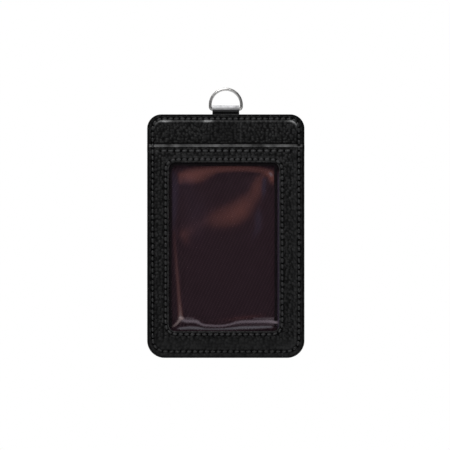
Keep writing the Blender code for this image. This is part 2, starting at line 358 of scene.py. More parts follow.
# Studio: white all round for the camera, a soft box overhead and a pale floor far below
studio = {
    "roomColour": (0.97, 0.98, 1.0, 1),
    "roomLight": 0.5,
    "roomShine": 0.05,  # what polished faces see of the room in front of the backdrop
    "backdrop": (0.15, 0.7),  # how far back a direction points where the white starts and where it is full
    "lamps": {  # width and height, place, radiance
        "overheadBox": ((0.55, 0.25), (-0.10, -0.05, 0.50), 3.5),
        "keyBox": ((0.40, 0.20), (-0.16, -0.54, 0.44), 9.0),
    },
    "aim": (0.0, 0.0, -0.06),  # what the lamps point at
    "floorZ": -0.31,
    "floorHalf": 1.4,
    "floorTones": ((0.84, 0.84, 0.84, 1), (0.88, 0.88, 0.88, 1)),
    "floorScale": 0.02,
    "floorGlow": 0.56,  # lifts the floor to the white of the room behind it, for the camera alone
}


def makeWorld():
    world = bpy.data.worlds.new("studio")
    bpy.context.scene.world = world
    world.use_nodes = True
    tree = world.node_tree
    tree.nodes.clear()
    path = addNode(tree, "ShaderNodeLightPath").outputs
    direction = addNode(tree, "ShaderNodeTexCoord").outputs["Generated"]
    backdrop = addRange(tree, parted(tree, direction)["Y"], *studio["backdrop"])
    shine = product(tree, path["Is Glossy Ray"], backdrop)
    seen = addMath(tree, "MAXIMUM", path["Is Camera Ray"], path["Is Transmission Ray"])
    white = addMath(tree, "MAXIMUM", seen, shine)
    light = addRange(tree, path["Is Glossy Ray"], 0.0, 1.0, studio["roomLight"], studio["roomShine"])
    room = addNode(tree, "ShaderNodeBackground", {"Color": studio["roomColour"], "Strength": light})
    sheet = addNode(tree, "ShaderNodeBackground", {"Color": (1, 1, 1, 1), "Strength": 1.0})
    both = addNode(tree, "ShaderNodeMixShader", {0: white, 1: room, 2: sheet})
    addNode(tree, "ShaderNodeOutputWorld", {"Surface": both})


def addLamp(name, size, place, radiance):
    data = bpy.data.lights.new(name, "AREA")
    data.shape = "RECTANGLE"
    data.size, data.size_y = size
    data.energy = radiance * math.pi * size[0] * size[1]
    lamp = addObject(name, data)
    lamp.location = place
    towards = Vector([a - b for a, b in zip(studio["aim"], place)])
    lamp.rotation_euler = towards.to_track_quat("-Z", "Y").to_euler()


def makeStudio():
    bpy.context.scene.view_settings.view_transform = "Standard"
    makeWorld()
    for name, (size, place, radiance) in studio["lamps"].items():
        addLamp(name, size, place, radiance)
    material, tree, shader = newMaterial("paleFloor", Roughness=0.9, Specular_IOR_Level=0.1)
    grain = addNoise(tree, millimetres(tree), studio["floorScale"])
    fill(tree, shader, {"Base Color": addMix(tree, grain, *studio["floorTones"])})
    path = addNode(tree, "ShaderNodeLightPath").outputs
    seen = product(tree, path["Is Camera Ray"], studio["floorGlow"])
    glow = addNode(tree, "ShaderNodeEmission", {"Strength": seen})
    pale = addNode(tree, "ShaderNodeAddShader", {0: shader, 1: glow})
    soft = addMath(tree, "MAXIMUM", path["Is Diffuse Ray"], path["Is Shadow Ray"])  # lit by the room below
    clear = addNode(tree, "ShaderNodeBsdfTransparent")
    both = addNode(tree, "ShaderNodeMixShader", {0: soft, 1: pale, 2: clear})
    fill(tree, tree.nodes["Material Output"], {"Surface": both})
    half = studio["floorHalf"]
    corners = np.array([(-half, -half), (half, -half), (half, half), (-half, half)])
    flat = np.full((4, 1), studio["floorZ"])
    floor = addPiece("floor", np.concatenate((corners, flat), 1), [(0, 1, 2, 3)], material)
    print("studio lit")


# Shader groups shared by several finishes
pebbles = {
    "wander": 0.55,  # scale of the unevenness that bends the rows of pebbles
    "randomness": 0.8,
    "tilt": 0.6,  # how fast the pattern moves with depth, so that edges have it too
    "roundness": 1.6,
    "fine": (3.1, 0.22),  # scale and share of the fine relief on each pebble
    "crease": (0.37, 0.55),  # share of a pebble's width where the crease starts and is full
}


def makePebbleGroup():  # rounded pebbles of leather grain, and the creases between them
    sockets = (
        ("Place", "NodeSocketVector", None),
        ("Pebble size", "NodeSocketFloat", 1.0),
        ("Unevenness", "NodeSocketFloat", 0.35),
    )
    group, start, end = newGroup("pebbleGrain", sockets, ("Height", "Crease", "Tone"))
    inputs = {"Vector": start["Place"], "Scale": pebbles["wander"], "Detail": 2.0}
    wander = addNode(group, "ShaderNodeTexNoise", inputs).outputs["Color"]
    shift = addVectors(group, "SUBTRACT", wander, (0.5, 0.5, 0.5))
    scaled = addNode(
        group, "ShaderNodeVectorMath", {0: shift, "Scale": start["Unevenness"]}, operation="SCALE"
    )
    place = parted(group, addVectors(group, "ADD", start["Place"], scaled))
    across = added(group, place["X"], product(group, place["Y"], pebbles["tilt"]))
    upward = added(group, place["Z"], product(group, place["Y"], pebbles["tilt"]))
    flat = addNode(group, "ShaderNodeCombineXYZ", {"X": across, "Y": upward})
    often = addMath(group, "DIVIDE", 1.0, start["Pebble size"])
    inputs = {"Vector": flat, "Scale": often, "Randomness": pebbles["randomness"]}
    cells = addNode(group, "ShaderNodeTexVoronoi", inputs, voronoi_dimensions="2D").outputs
    slope = addMath(group, "POWER", cells["Distance"], pebbles["roundness"])
    dome = addMath(group, "SUBTRACT", 1.0, slope, clamp=True)
    scale, share = pebbles["fine"]
    height = added(group, dome, product(group, addNoise(group, start["Place"], scale, 3.0), share))
    crease = addRange(group, cells["Distance"], *pebbles["crease"])
    tone = addNode(group, "ShaderNodeSeparateColor", {"Color": cells["Color"]}).outputs["Red"]
    fill(group, end, {"Height": height, "Crease": crease, "Tone": tone})
    return group


wearAndHighlightPatches = {
    "scale": 0.28,
    "patches": (0.42, 0.68),  # the noise where a patch left plain starts, and where it is full
    "patchiness": 0.5,
}


def makeWearAndHighlightGroup():  # paler, smoother patches along raised edges: wear, and painted highlights where the light catches them
    sockets = (
        ("Place", "NodeSocketVector", None),
        ("Exposed", "NodeSocketFloat", 0.0),
        ("Patchiness", "NodeSocketFloat", wearAndHighlightPatches["patchiness"]),
    )
    group, start, end = newGroup("edgeWearAndHighlight", sockets, ("WearAndHighlightShare",))
    patches = addRange(group, addNoise(group, start["Place"], wearAndHighlightPatches["scale"], 5.0), *wearAndHighlightPatches["patches"])
    kept = addMath(group, "SUBTRACT", 1.0, product(group, start["Patchiness"], patches))
    fill(group, end, {"WearAndHighlightShare": product(group, start["Exposed"], kept, clamp=True)})
    return group


pebbleGroup = makePebbleGroup()
wearAndHighlightGroup = makeWearAndHighlightGroup()

# Leather finish
leatherLook = {
    "dark": (0.0016, 0.0016, 0.0018, 1),
    "light": (0.0207, 0.0207, 0.0209, 1),
    "creaseColour": (0.0004, 0.0004, 0.0005, 1),
    # pale colour of worn spots, and of the painted highlights on lit edges, ridges and the lip
    "wearAndHighlightColour": (0.30, 0.30, 0.30, 1),
    "pebble": 1.32,  # millimetres across
    "relief": 0.55 * mm,
    "smoothRelief": 0.4,  # share of the relief that is left where the leather is pressed flat
    "mottling": 0.42,  # the smaller, the stronger the dark and light patches
    "patchScale": 0.75,
    "pebbleTone": 0.5,  # how much of the mottling goes from pebble to pebble
    "middleTone": 0.75,  # what both together come to in a middling shade
    "roughness": (0.36, 0.6),  # on the pebbles and in the creases
    "rougher": {"patches": 0.06, "paint": 0.12, "hole": 0.5},
    "wearAndHighlightSmoother": 0.08,
}


def makeLeather(look):
    material, tree, shader = newMaterial("pebbledLeather", Specular_IOR_Level=0.17, IOR=1.45)
    place = millimetres(tree)
    grain = useGroup(tree, pebbleGroup, Place=place, Pebble_size=look["pebble"])
    painted, pressed, hole = [readAttribute(tree, name) for name in ("edgePaint", "pressed", "hole")]
    wearAndHighlightShare = useGroup(tree, wearAndHighlightGroup, Place=place, Exposed=readAttribute(tree, "wearAndHighlight"))["WearAndHighlightShare"]
    unpainted = addMath(tree, "SUBTRACT", 1.0, painted, clamp=True)
    flat = addRange(tree, pressed, 0.0, 1.0, 1.0, look["smoothRelief"])
    crease = product(tree, grain["Crease"], product(tree, unpainted, flat))
    patches = addNoise(tree, place, look["patchScale"], 4.0)
    both = added(tree, patches, product(tree, grain["Tone"], look["pebbleTone"]))
    mottled = addMath(tree, "SUBTRACT", both, look["middleTone"])
    shade = addRange(tree, product(tree, mottled, flat), -look["mottling"], look["mottling"])
    ground = addMix(tree, shade, look["dark"], look["light"])
    ground = addMix(tree, crease, ground, look["creaseColour"])
    # wear, and painted highlights where the light catches edges, ridges and the lip
    ground = addMix(tree, wearAndHighlightShare, ground, look["wearAndHighlightColour"])
    # painted shade in the stitch holes, under the pocket's lip and over the strap's dent, and the black edge
    # paint
    ground = addMix(tree, addMath(tree, "MAXIMUM", hole, painted), ground, look["creaseColour"])
    rough = addRange(tree, grain["Crease"], 0.0, 1.0, *look["roughness"])
    rough = added(tree, rough, product(tree, patches, look["rougher"]["patches"]))
    rough = added(tree, rough, product(tree, painted, look["rougher"]["paint"]))
    rough = added(tree, rough, product(tree, hole, look["rougher"]["hole"]), clamp=True)
    rough = addMath(tree, "SUBTRACT", rough, product(tree, wearAndHighlightShare, look["wearAndHighlightSmoother"]))
    height = product(tree, grain["Height"], product(tree, flat, unpainted))
    finishShader(tree, shader, ground, rough, height, look["relief"])
    return material


# Seams: stitch ends, which are also the holes in the leather
def seamHoles(outline, pitch, closed=True):
    return evenly(outline, round(lineLength(outline, closed) / pitch), closed)


seamSides = (
    caseLeft + case["seamSide"],
    caseRight - case["seamSide"],
    caseBottom + case["seamBottom"],
    caseTop - case["seamTop"],
)
seamRadii = (case["topRadius"] - case["seamSide"], case["bottomRadius"] - case["seamSide"])
seamSteps = {"topCorner": 24, "bottomCorner": 24, "across": 60, "up": 90}
mouthSeam = {"below": 3.25 * mm, "pitch": 3.2 * mm, "end": 29.8 * mm, "pull": 0.6}
edgeHoles = seamHoles(roundedLoop(seamSides, *seamRadii, seamSteps), case["stitchPitch"])
windowSeamRadius = window["radius"] + window["seamOffset"]
windowSeamSides = drawnIn(windowSides, -window["seamOffset"])
windowSeamLoop = roundedLoop(windowSeamSides, windowSeamRadius, windowSeamRadius, seamSteps)
windowHoles = seamHoles(windowSeamLoop, case["stitchPitch"])
mouthSeamZ = mouthZ - mouthSeam["below"]
mouthLine = np.array([(-mouthSeam["end"], mouthSeamZ), (mouthSeam["end"], mouthSeamZ)])
mouthHoles = seamHoles(mouthLine, mouthSeam["pitch"], closed=False)


def nearHoles(x, z, holes):  # distance of each point from the nearest hole
    nearest = np.full(x.shape, 1.0)
    for holeX, holeZ in holes:
        nearest = np.minimum(nearest, np.hypot(x - holeX, z - holeZ))
    return nearest


# Form of the leather along an edge and its seam
edgeForm = {
    "roll": 1.0 * mm,  # how far in the rounded edge reaches
    "rollDeep": 1.45 * mm,
    "painted": (0.75 * mm, 1.2 * mm),  # where the paint on the edge starts to thin out, and where it ends
    "valley": 0.15 * mm,
    "valleyWidth": 0.7 * mm,
    "shoulder": (0.12 * mm, 1.25 * mm, 0.7 * mm),  # height, distance past the seam and half width of a puff
    "thinShoulder": (0.06 * mm, 1.3 * mm, 0.7 * mm),
    "holeDepth": 0.46 * mm,
    "holeWidth": 0.79 * mm,
    "holeShade": 1.5,  # how dark the painted shade in a hole is, before it is cut off at one
}
outerInsets = np.array(
    [0, 0.02, 0.06, 0.12, 0.2, 0.3, 0.42, 0.56, 0.7, 0.85, 1.05, 1.3, 1.55, 1.75, 1.95, 2.12, 2.3, 2.48]
    + [2.66, 2.84, 3.02, 3.2, 3.42, 3.7, 4.05, 4.45, 4.9]
) * mm


def seamRelief(x, z, fromSeam, holes, strength=1.0):  # the valley that a seam pulls, and its holes with the painted shade in them
    dent = strength * edgeForm["valley"] * bell(fromSeam, edgeForm["valleyWidth"])
    hole = bell(nearHoles(x, z, holes), edgeForm["holeWidth"])
    return -dent - edgeForm["holeDepth"] * hole, np.minimum(edgeForm["holeShade"] * hole, 1)


def edgeSeamRelief(x, z):
    return seamRelief(x, z, abs(depthInside(x, z, seamSides, *seamRadii)), edgeHoles)


def edgePainted(inside):
    return 1 - smooth(inside, *edgeForm["painted"])


def unevenness(form, x, z, inside, side=0):  # from its height, wave, start and end inside the edge, and seed
    height, wave, start, end, seed = form
    return height * lumps(x, z, wave, seed + side) * smooth(inside, start, end)


def rollDrop(inside, reach, drop, second=1.0, secondReach=1.0):  # rounds an edge, and the corner of two edges
    one = np.clip(1 - inside / reach, 0, 1)
    two = np.clip(1 - second / secondReach, 0, 1)
    return drop * (1 - np.sqrt(np.clip(1 - one * one - two * two, 0, 1)))


def leatherMasks(before, painted, pressed, wearAndHighlight, hole, after=0):  # plain before and after the face's rows
    masks = {"edgePaint": (1.0, painted, 0.0), "pressed": (1.0, pressed, 1.0)}
    masks |= {"wearAndHighlight": (0.0, wearAndHighlight, 0.0), "hole": (0.0, hole, 0.0)}
    around = painted.shape[1]
    return {
        name: np.concatenate((np.full(before * around, first), face.ravel(), np.full(after * around, last)))
        for name, (first, face, last) in masks.items()
    }


# Front pocket: panel with the window in it
pocketForm = {
    "steps": {"topCorner": 12, "bottomCorner": 36, "across": 262, "up": 356},
    "mouthCorner": (0.85 * mm, 0.25 * mm),  # radius at the outline, and the least inside it
    "rise": (3.3 * mm, 6.0 * mm),  # how far in the rim ends, and the room for a card starts
    "underRim": (1.9 * mm, 2.2 * mm),  # the same of its back, where the leather leaves the edge
    "underRise": (4.2 * mm, 6.0 * mm),
    "underEase": 0.06 * mm,
    "lipRise": (0.10 * mm, 1.4 * mm, 0.3 * mm),  # height, how far below the mouth, and half width
    "crease": (0.42 * mm, 2.05 * mm, 0.38 * mm),
    "lipEnds": (1.2 * mm, 3.2 * mm),  # how far in the lip and the crease start
    "lipReach": 1.5 * mm,
    "lipDrop": case["leather"] - 0.2 * mm,
    "lipBulge": 0.15,  # how far the slope to the mouth's edge is rounded outwards
    "brink": 0.22 * mm,
    "unevenness": (0.045 * mm, 23 * mm, 1 * mm, 6 * mm, 5),
    "windowEdge": 0.36 * mm,
    "windowPuff": ((0.07 * mm, 0.62 * mm, 0.4 * mm), (0.06 * mm, 2.5 * mm, 0.8 * mm)),  # as lipRise
    "edgeBack": 0.72 * mm,  # the leather is glued down on the turned edge of the back panel
    "overBand": (-1.2 * mm, 0.2 * mm),  # from the band's lower edge, where the leather starts to lie on it
    "bandEase": 0.12 * mm,
    "backInsets": (6.0, 5.1, 4.2, 2.2, 1.9, 0.12),  # in millimetres, of the loops on the leather's back
    "wallShares": (0.08, 0.3, 0.6, 0.9),  # of the way up the leather's edge
    "bevel": 0.03 * mm,
    "paintedLip": (0.05 * mm, 0.22 * mm),  # below the mouth's edge, where it starts to fade and where it ends
    "pressedLip": (1.2 * mm, 1.6 * mm),
    "pressedFoot": (2 * mm, 5 * mm, 0.75),  # how far below the window it starts and is full, and strength
    "lipHighlight": (0.2 * mm, 0.4 * mm, 1.35 * mm, 1.6 * mm),  # painted highlight along the lip: where it starts, is full, fades and ends
    "lipShine": (0.22, 0.11, 1.05 * mm, 1.3 * mm),  # strength, and what its lower edge gains
    "lipPatches": (0.7, 7 * mm, 37),
    "highlightLines": {  # painted highlight lines: strength, place and half width
        "atSides": (0.10, 0.3 * mm, 0.3 * mm),
        "overWindow": (0.16, window["seamOffset"], 1.05 * mm),
        "mouthSeam": (0.05, 0.0, 0.8 * mm),
        "rightSide": (0.04, 4.1 * mm, 1.1 * mm),
    },
    "rightFrom": (20 * mm, 30 * mm),  # x where the last of them starts, and where it is full
}
windowGrows = np.array(
    [2.9, 2.5, 2.15, 1.9, 1.7, 1.52, 1.36, 1.2, 1.0, 0.8, 0.6, 0.46, 0.35, 0.26, 0.18, 0.11, 0.05, 0.015]
) * mm


def pocketSurface(x, z, side):  # distance of a pocket's face from the middle of the board
    inside, below = pocketDepth(x, z), mouthZ - z
    face = rimFace + (middleFace - rimFace) * smooth(inside, *pocketForm["rise"])
    face = face + ridge(edgeForm["shoulder"], inside - case["seamSide"])
    face = face + unevenness(pocketForm["unevenness"], x, z, inside, side)
    relief, hole = edgeSeamRelief(x, z)
    lip = ridge(pocketForm["lipRise"], below) - ridge(pocketForm["crease"], below)
    return face + relief + lip * smooth(inside, *pocketForm["lipEnds"]), inside, below, hole


def lipDrop(below):  # a slope up to the mouth's edge, rounded over at its brink
    share = np.clip(1 - below / pocketForm["lipReach"], 0, 1)
    brink = np.clip(1 - below / pocketForm["brink"], 0, 1)
    slope = pocketForm["lipDrop"] * share * (1 + pocketForm["lipBulge"] * (1 - share))
    return slope + pocketForm["brink"] * (1 - np.sqrt(1 - brink * brink))


def mouthLoop(inset):  # the outline of a pocket
    radius, least = pocketForm["mouthCorner"]
    radii = (max(radius - inset, least), case["bottomRadius"] - inset)
    return roundedLoop(drawnIn(pocketSides, inset), *radii, pocketForm["steps"])


def underPocket(deep, edge):  # the back of its leather: from the edge to over the card in the middle
    ease = pocketForm["underEase"]
    rim = edge + (rimFace - case["leather"] - ease - edge) * smooth(deep, *pocketForm["underRim"])
    return rim + (middleUnder - ease - rim) * smooth(deep, *pocketForm["underRise"])


def frontPocketMasks(x, z, inside, below, fromWindow):  # edge paint, pressed, and wear with painted highlights
    form, lines, windowTop = pocketForm, pocketForm["highlightLines"], windowSides[3]
    painted = np.maximum(edgePainted(inside), 1 - smooth(below, *form["paintedLip"]))
    start, end, strength = form["pressedFoot"]
    foot = strength * smooth(-z, start - windowSides[2], end - windowSides[2])
    pressed = np.maximum(1 - smooth(below, *form["pressedLip"]), foot)
    start, full, fade, end = form["lipHighlight"]
    wearAndHighlight = smooth(below, start, full) * (1 - smooth(below, fade, end))
    shine, gain, start, end = form["lipShine"]
    wearAndHighlight = wearAndHighlight * (shine + gain * smooth(below, start, end))
    strength, wave, seed = form["lipPatches"]
    wearAndHighlight = wearAndHighlight * (1 + strength * lumps(x, 0 * z, wave, seed))
    atSides = 1 - smooth(z, windowTop - 1.5 * mm, windowTop - 0.5 * mm)
    overWindow = smooth(z, windowTop - 0.5 * mm, windowTop + 0.5 * mm)
    # painted highlights along the window's lit edge and over its top, paler leather along the mouth seam, and
    # a painted highlight on the right shoulder's shaded slope
    wearAndHighlight = wearAndHighlight + ridge(lines["atSides"], fromWindow) * atSides
    wearAndHighlight = wearAndHighlight + ridge(lines["overWindow"], fromWindow) * overWindow
    wearAndHighlight = wearAndHighlight + ridge(lines["mouthSeam"], z - mouthSeamZ)
    wearAndHighlight = wearAndHighlight + ridge(lines["rightSide"], inside) * smooth(x, *form["rightFrom"])
    return painted, pressed, np.clip(wearAndHighlight, 0, 1)


def makeFrontPanel(leather):
    form = pocketForm

    def windowLoop(grow):
        radius = window["radius"] + grow
        return roundedLoop(drawnIn(windowSides, -grow), radius, radius, form["steps"])

    def overBand(z):
        start, end = form["overBand"]
        return smooth(z, bandBottom + start, bandBottom + end)

    def under(loop):
        bandBack = bandFace + form["bandEase"]
        edge = form["edgeBack"] + (bandBack - form["edgeBack"]) * overBand(loop[:, 1])
        return underPocket(pocketDepth(loop[:, 0], loop[:, 1]), edge)

    outer, inner = mouthLoop(outerInsets[-1]), windowLoop(windowGrows[0])
    between = [outer + (inner - outer) * share for share in (0.25, 0.5, 0.75)]
    loops = [mouthLoop(inset) for inset in outerInsets] + between + [windowLoop(grow) for grow in windowGrows]
    x, z = spread(loops)
    face, inside, below, hole = pocketSurface(x, z, front)
    fromWindow = -windowDepth(x, z)
    relief, windowHole = seamRelief(x, z, fromWindow - window["seamOffset"], windowHoles, window["pull"])
    fromMouthSeam = np.hypot(z - mouthSeamZ, np.maximum(abs(x) - mouthSeam["end"], 0))
    mouthRelief, mouthHole = seamRelief(x, z, fromMouthSeam, mouthHoles, mouthSeam["pull"])
    face = face + relief + mouthRelief + sum(ridge(puff, fromWindow) for puff in form["windowPuff"])
    drop = edgeForm["rollDeep"] + (case["leather"] - edgeForm["rollDeep"]) * overBand(z)
    drop = rollDrop(inside, edgeForm["roll"], drop)
    face = face - np.maximum(drop, lipDrop(below))
    ease = np.clip(1 - fromWindow / form["windowEdge"], 0, 1)
    face = face - form["windowEdge"] * (1 - np.sqrt(1 - ease * ease))

    wall, start = mouthLoop(0.0), windowLoop(2.0 * mm)
    wallBack = under(wall)
    rows = [(start, under(start))]
    for inset in form["backInsets"]:
        rows.append((mouthLoop(inset * mm), under(mouthLoop(inset * mm))))
    rows.append((mouthLoop(form["bevel"]), wallBack + form["bevel"]))
    for share in form["wallShares"]:
        rows.append((wall, wallBack + (face[0] - wallBack) * share))
    before = len(rows)
    rows += zip(loops, face)
    edge = ((0.0, middleFace - 0.55 * mm), (0.0, middleUnder + 0.1 * mm), (0.08, middleUnder - 0.02 * mm))
    for grow, out in edge:
        rows.append((windowLoop(grow * mm), np.full(x.shape[1], out)))
    painted, pressed, wearAndHighlight = frontPocketMasks(x, z, inside, below, fromWindow)
    # painted shade in the holes of all three seams
    holes = np.clip(hole + windowHole + mouthHole, 0, 1)
    masks = leatherMasks(before, painted, pressed, wearAndHighlight, holes, len(rows) - before - len(loops))
    piece = addSkin("frontPanel", front, rows, True, leather, masks)
    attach(piece, "holder")
    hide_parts("front_panel")
    print("front panel sewn")


# Band across the top of the front
bandForm = {
    "steps": {"topCorner": 34, "bottomCorner": 6, "across": 262, "up": 44},
    "innerInsets": np.array([5.35, 5.85, 6.3, 6.7, 7.1, 7.5, 7.8, 8.0]) * mm,
    "corner": 0.4 * mm,
    "innerCorner": (0.5 * mm, 0.4 * mm),  # least radius inside, and how far past the last loop it ends
    "bottomRound": 0.3 * mm,
    "unevenness": (0.03 * mm, 19 * mm, 1 * mm, 5 * mm, 11),
    "ridge": (0.26 * mm, 1.5 * mm, 0.50 * mm),  # the leather puffs up just inside the top seam
    "ridgeEnds": (5 * mm, 8 * mm),  # how far down it goes at the sides
    "ridgeLight": (0.6, 0.4, -9 * mm, -5.5 * mm),  # its strength, and what it gains left of these places
    "ridgeCorner": (0.4, 30 * mm, 2.5 * mm),
    # painted highlight along the ridge: strength, distance below the seam and half width
    "shine": (0.21, 0.9 * mm, 0.55 * mm),
    "paintedHighlight": 1.7,
    "highlightSpots": ((-28.0, 2.0), (-8.0, 2.0), (31.0, 1.6)),  # painted highlight spots: x and half width in millimetres, on that ridge
    "brink": (0.25 * mm, 0.45 * mm, 2 * mm, 6 * mm),  # roundness at the top, and what it gains down the sides
    "brinkShine": (0.12, 0.1 * mm, 0.35 * mm),
    "lipShade": (1.0, 0.2 * mm, 0.38 * mm),  # dark where the pocket's lip shades it
    "strapHalf": strapHigh.x,
    "strapSoft": 0.5 * mm,  # how far the dent over the strap fades out on each side of the strap's edge
    "strapDent": 0.12 * mm,
    "strapShade": 0.3,
    "pressed": (0.2, 0.2),  # everywhere, and what the strap adds
    "bare": 0.5 * mm,  # how far down from the case's top the edge over the strap has no paint
    "strapTop": (2.6 * mm, 3.6 * mm),
    "besideStrap": (1.0, 0.7 * mm, 0.4 * mm),  # a painted highlight along the strap's right leg
    "besideTop": (3 * mm, 4.5 * mm),
    "besideHeight": 0.07 * mm,
    "besideShine": 0.07,
}


def bandSurface(x, z):
    form, half = bandForm, bandForm["strapHalf"]
    sides = (caseLeft, caseRight, 2 * caseBottom, caseTop)
    inside, fromTop = depthInside(x, z, sides, case["topRadius"], case["topRadius"]), caseTop - z
    face = bandFace + unevenness(form["unevenness"], x, z, inside)
    relief, hole = edgeSeamRelief(x, z)
    light, gain, full, end = form["ridgeLight"]
    lit = light + gain * (1 - smooth(x, full, end)) + ridge(form["ridgeCorner"], x)
    underSeam = np.minimum(inside, fromTop) - case["seamTop"]
    turning = 1 - smooth(fromTop, *form["ridgeEnds"])
    face = face + relief + ridge(form["ridge"], underSeam) * lit * turning
    face = face + ridge(edgeForm["thinShoulder"], inside - case["seamSide"])
    overStrap = 1 - smooth(abs(x), half - form["strapSoft"], half + form["strapSoft"])
    overStrap = overStrap * smooth(fromTop, *form["strapTop"])
    face = face - form["strapDent"] * overStrap
    # painted shade under the pocket's lip and over the strap's dent, added to that in the holes
    hole = np.maximum(hole, ridge(form["lipShade"], z - mouthZ))
    hole = np.maximum(hole, form["strapShade"] * overStrap)
    beside = ridge(form["besideStrap"], x - half) * smooth(fromTop, *form["besideTop"])
    # painted highlights on the lit ridge, on the brink over the strap and beside the strap's leg
    paintedHighlight = sum(bell(x - at * mm, wide * mm) for at, wide in form["highlightSpots"])
    shine, away, width = form["shine"]
    wearAndHighlight = (shine * lit + form["paintedHighlight"] * paintedHighlight) * turning * bell(underSeam - away, width)
    brink = ridge(form["brinkShine"], fromTop) * (1 - smooth(abs(x), half, half + 1 * mm))
    wearAndHighlight = wearAndHighlight + form["besideShine"] * beside + brink
    return face + form["besideHeight"] * beside, inside, hole, overStrap, wearAndHighlight


def makeFrontBand(leather):
    form = bandForm
    sides = (caseLeft, caseRight, bandBottom, caseTop)
    thin = (caseTop - bandBottom) / 2 - 0.06 * mm

    def edgeLoop(inset):
        least, past = form["innerCorner"]
        topRadius = max(case["topRadius"] - inset, least * (1 - inset / (thin + past)))
        return roundedLoop(drawnIn(sides, inset), topRadius, min(form["corner"], topRadius), form["steps"])

    loops = [edgeLoop(inset) for inset in (*outerInsets, *form["innerInsets"], thin)]
    x, z = spread(loops)
    face, inside, hole, overStrap, wearAndHighlight = bandSurface(x, z)
    fromTop = caseTop - z
    least, more, start, end = form["brink"]
    reach = least + more * smooth(fromTop, start, end)
    face = face - rollDrop(inside, reach, case["leather"] - 0.02 * mm, z - bandBottom, form["bottomRound"])
    under = pocketForm["edgeBack"]
    back = [(3.0, under), (0.12, under), (0.02, under + 0.03 * mm)]
    rows = [(edgeLoop(inset * mm), np.full(x.shape[1], out)) for inset, out in back]
    rows += zip(loops, face)
    bare = (abs(x) < form["strapHalf"]) & (fromTop < form["bare"])
    everywhere, more = form["pressed"]
    pressed = everywhere + more * overStrap
    masks = leatherMasks(len(back), np.where(bare, 0.0, edgePainted(inside)), pressed, wearAndHighlight, hole)
    piece = addSkin("frontBand", front, rows, False, leather, masks)
    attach(piece, "holder")
    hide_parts("front_band")
    print("front band laid")


# Back panel: turned over the board's edge to meet the front leathers
backForm = {
    "steps": {"topCorner": 34, "bottomCorner": 36, "across": 230, "up": 330},
    "innerInsets": np.array([6, 7.5, 9.5, 12, 15, 19, 23, 27, 31, 34, 35.6]) * mm,
    "corner": 0.4 * mm,
    "roll": 0.7 * mm,
    "turnedLip": 0.6 * mm,
    "lipRound": 0.16 * mm,
    "unevenness": (0.03 * mm, 21 * mm, 1 * mm, 5 * mm, 17),
    "pressed": 0.45,
    "bareFrom": (-0.9 * mm, -0.1 * mm),  # from the pocket's mouth, where the seam starts to show
}


def makeBackPanel(leather):
    form = backForm
    halfWidth = (caseRight - caseLeft) / 2

    def edgeLoop(inset):
        keep = form["corner"] * (1 - inset / halfWidth)
        radii = [max(case[name] - inset, keep) for name in ("topRadius", "bottomRadius")]
        return roundedLoop(drawnIn(caseSides, inset), *radii, form["steps"])

    loops = [edgeLoop(inset) for inset in (*outerInsets, *form["innerInsets"])]
    x, z = spread(loops)
    inside = depthInside(x, z, caseSides, case["topRadius"], case["bottomRadius"])
    relief, hole = edgeSeamRelief(x, z)
    bare = smooth(z - mouthZ, *form["bareFrom"])
    face = bandFace + bare * (relief + ridge(edgeForm["thinShoulder"], inside - case["seamSide"]))
    face = face + unevenness(form["unevenness"], x, z, inside)
    face = face - rollDrop(inside, form["roll"], case["leather"])
    low, lip, turn = -boardFace, form["turnedLip"], form["lipRound"]
    inner = bandFace - case["leather"]
    start = [(35.5 * mm, inner), (lip, inner), (lip, low + turn), (lip - 0.05 * mm, low + 0.04 * mm)]
    start += [(lip - turn, low), (turn, low), (0.05 * mm, low + 0.05 * mm), (0.0, low + turn)]
    start += [(0.0, low + (inner - low) * share) for share in (0.3, 0.55, 0.8, 0.95)]
    rows = [(edgeLoop(inset), np.full(x.shape[1], out)) for inset, out in start]
    rows += zip(loops, face)
    pressed, wearAndHighlight = np.full(x.shape, form["pressed"]), np.zeros(x.shape)
    masks = leatherMasks(len(start), edgePainted(inside), pressed, wearAndHighlight, hole)
    piece = addSkin("backPanel", back, rows, False, leather, masks)
    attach(piece, "holder")
    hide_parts("back_panel")
    print("back panel turned")


# Back pocket with its thumb notch
notch = {
    "half": 10.0 * mm,
    "depth": 9.0 * mm,
    "corner": 1.2 * mm,
    "cornerReach": 4 * mm,
    "middle": (-2 * mm, 2 * mm, -80 * mm, -70 * mm),  # sides of the innermost loop
    "shares": (0.03, 0.07, 0.13, 0.22, 0.35, 0.5, 0.65, 0.8, 0.92, 1.0),  # of the way there
    "backInsets": (4.9, 2.2, 1.9, 0.7, 0.45, 0.27, 0.14, 0.06),
    "lipReach": 1.05 * mm,
    "lipShine": (0.16, 0.6 * mm, 0.5 * mm),
    "pressed": (0.35, 0.65, 1.4 * mm),  # in the middle, what the lip gains, and half width
}


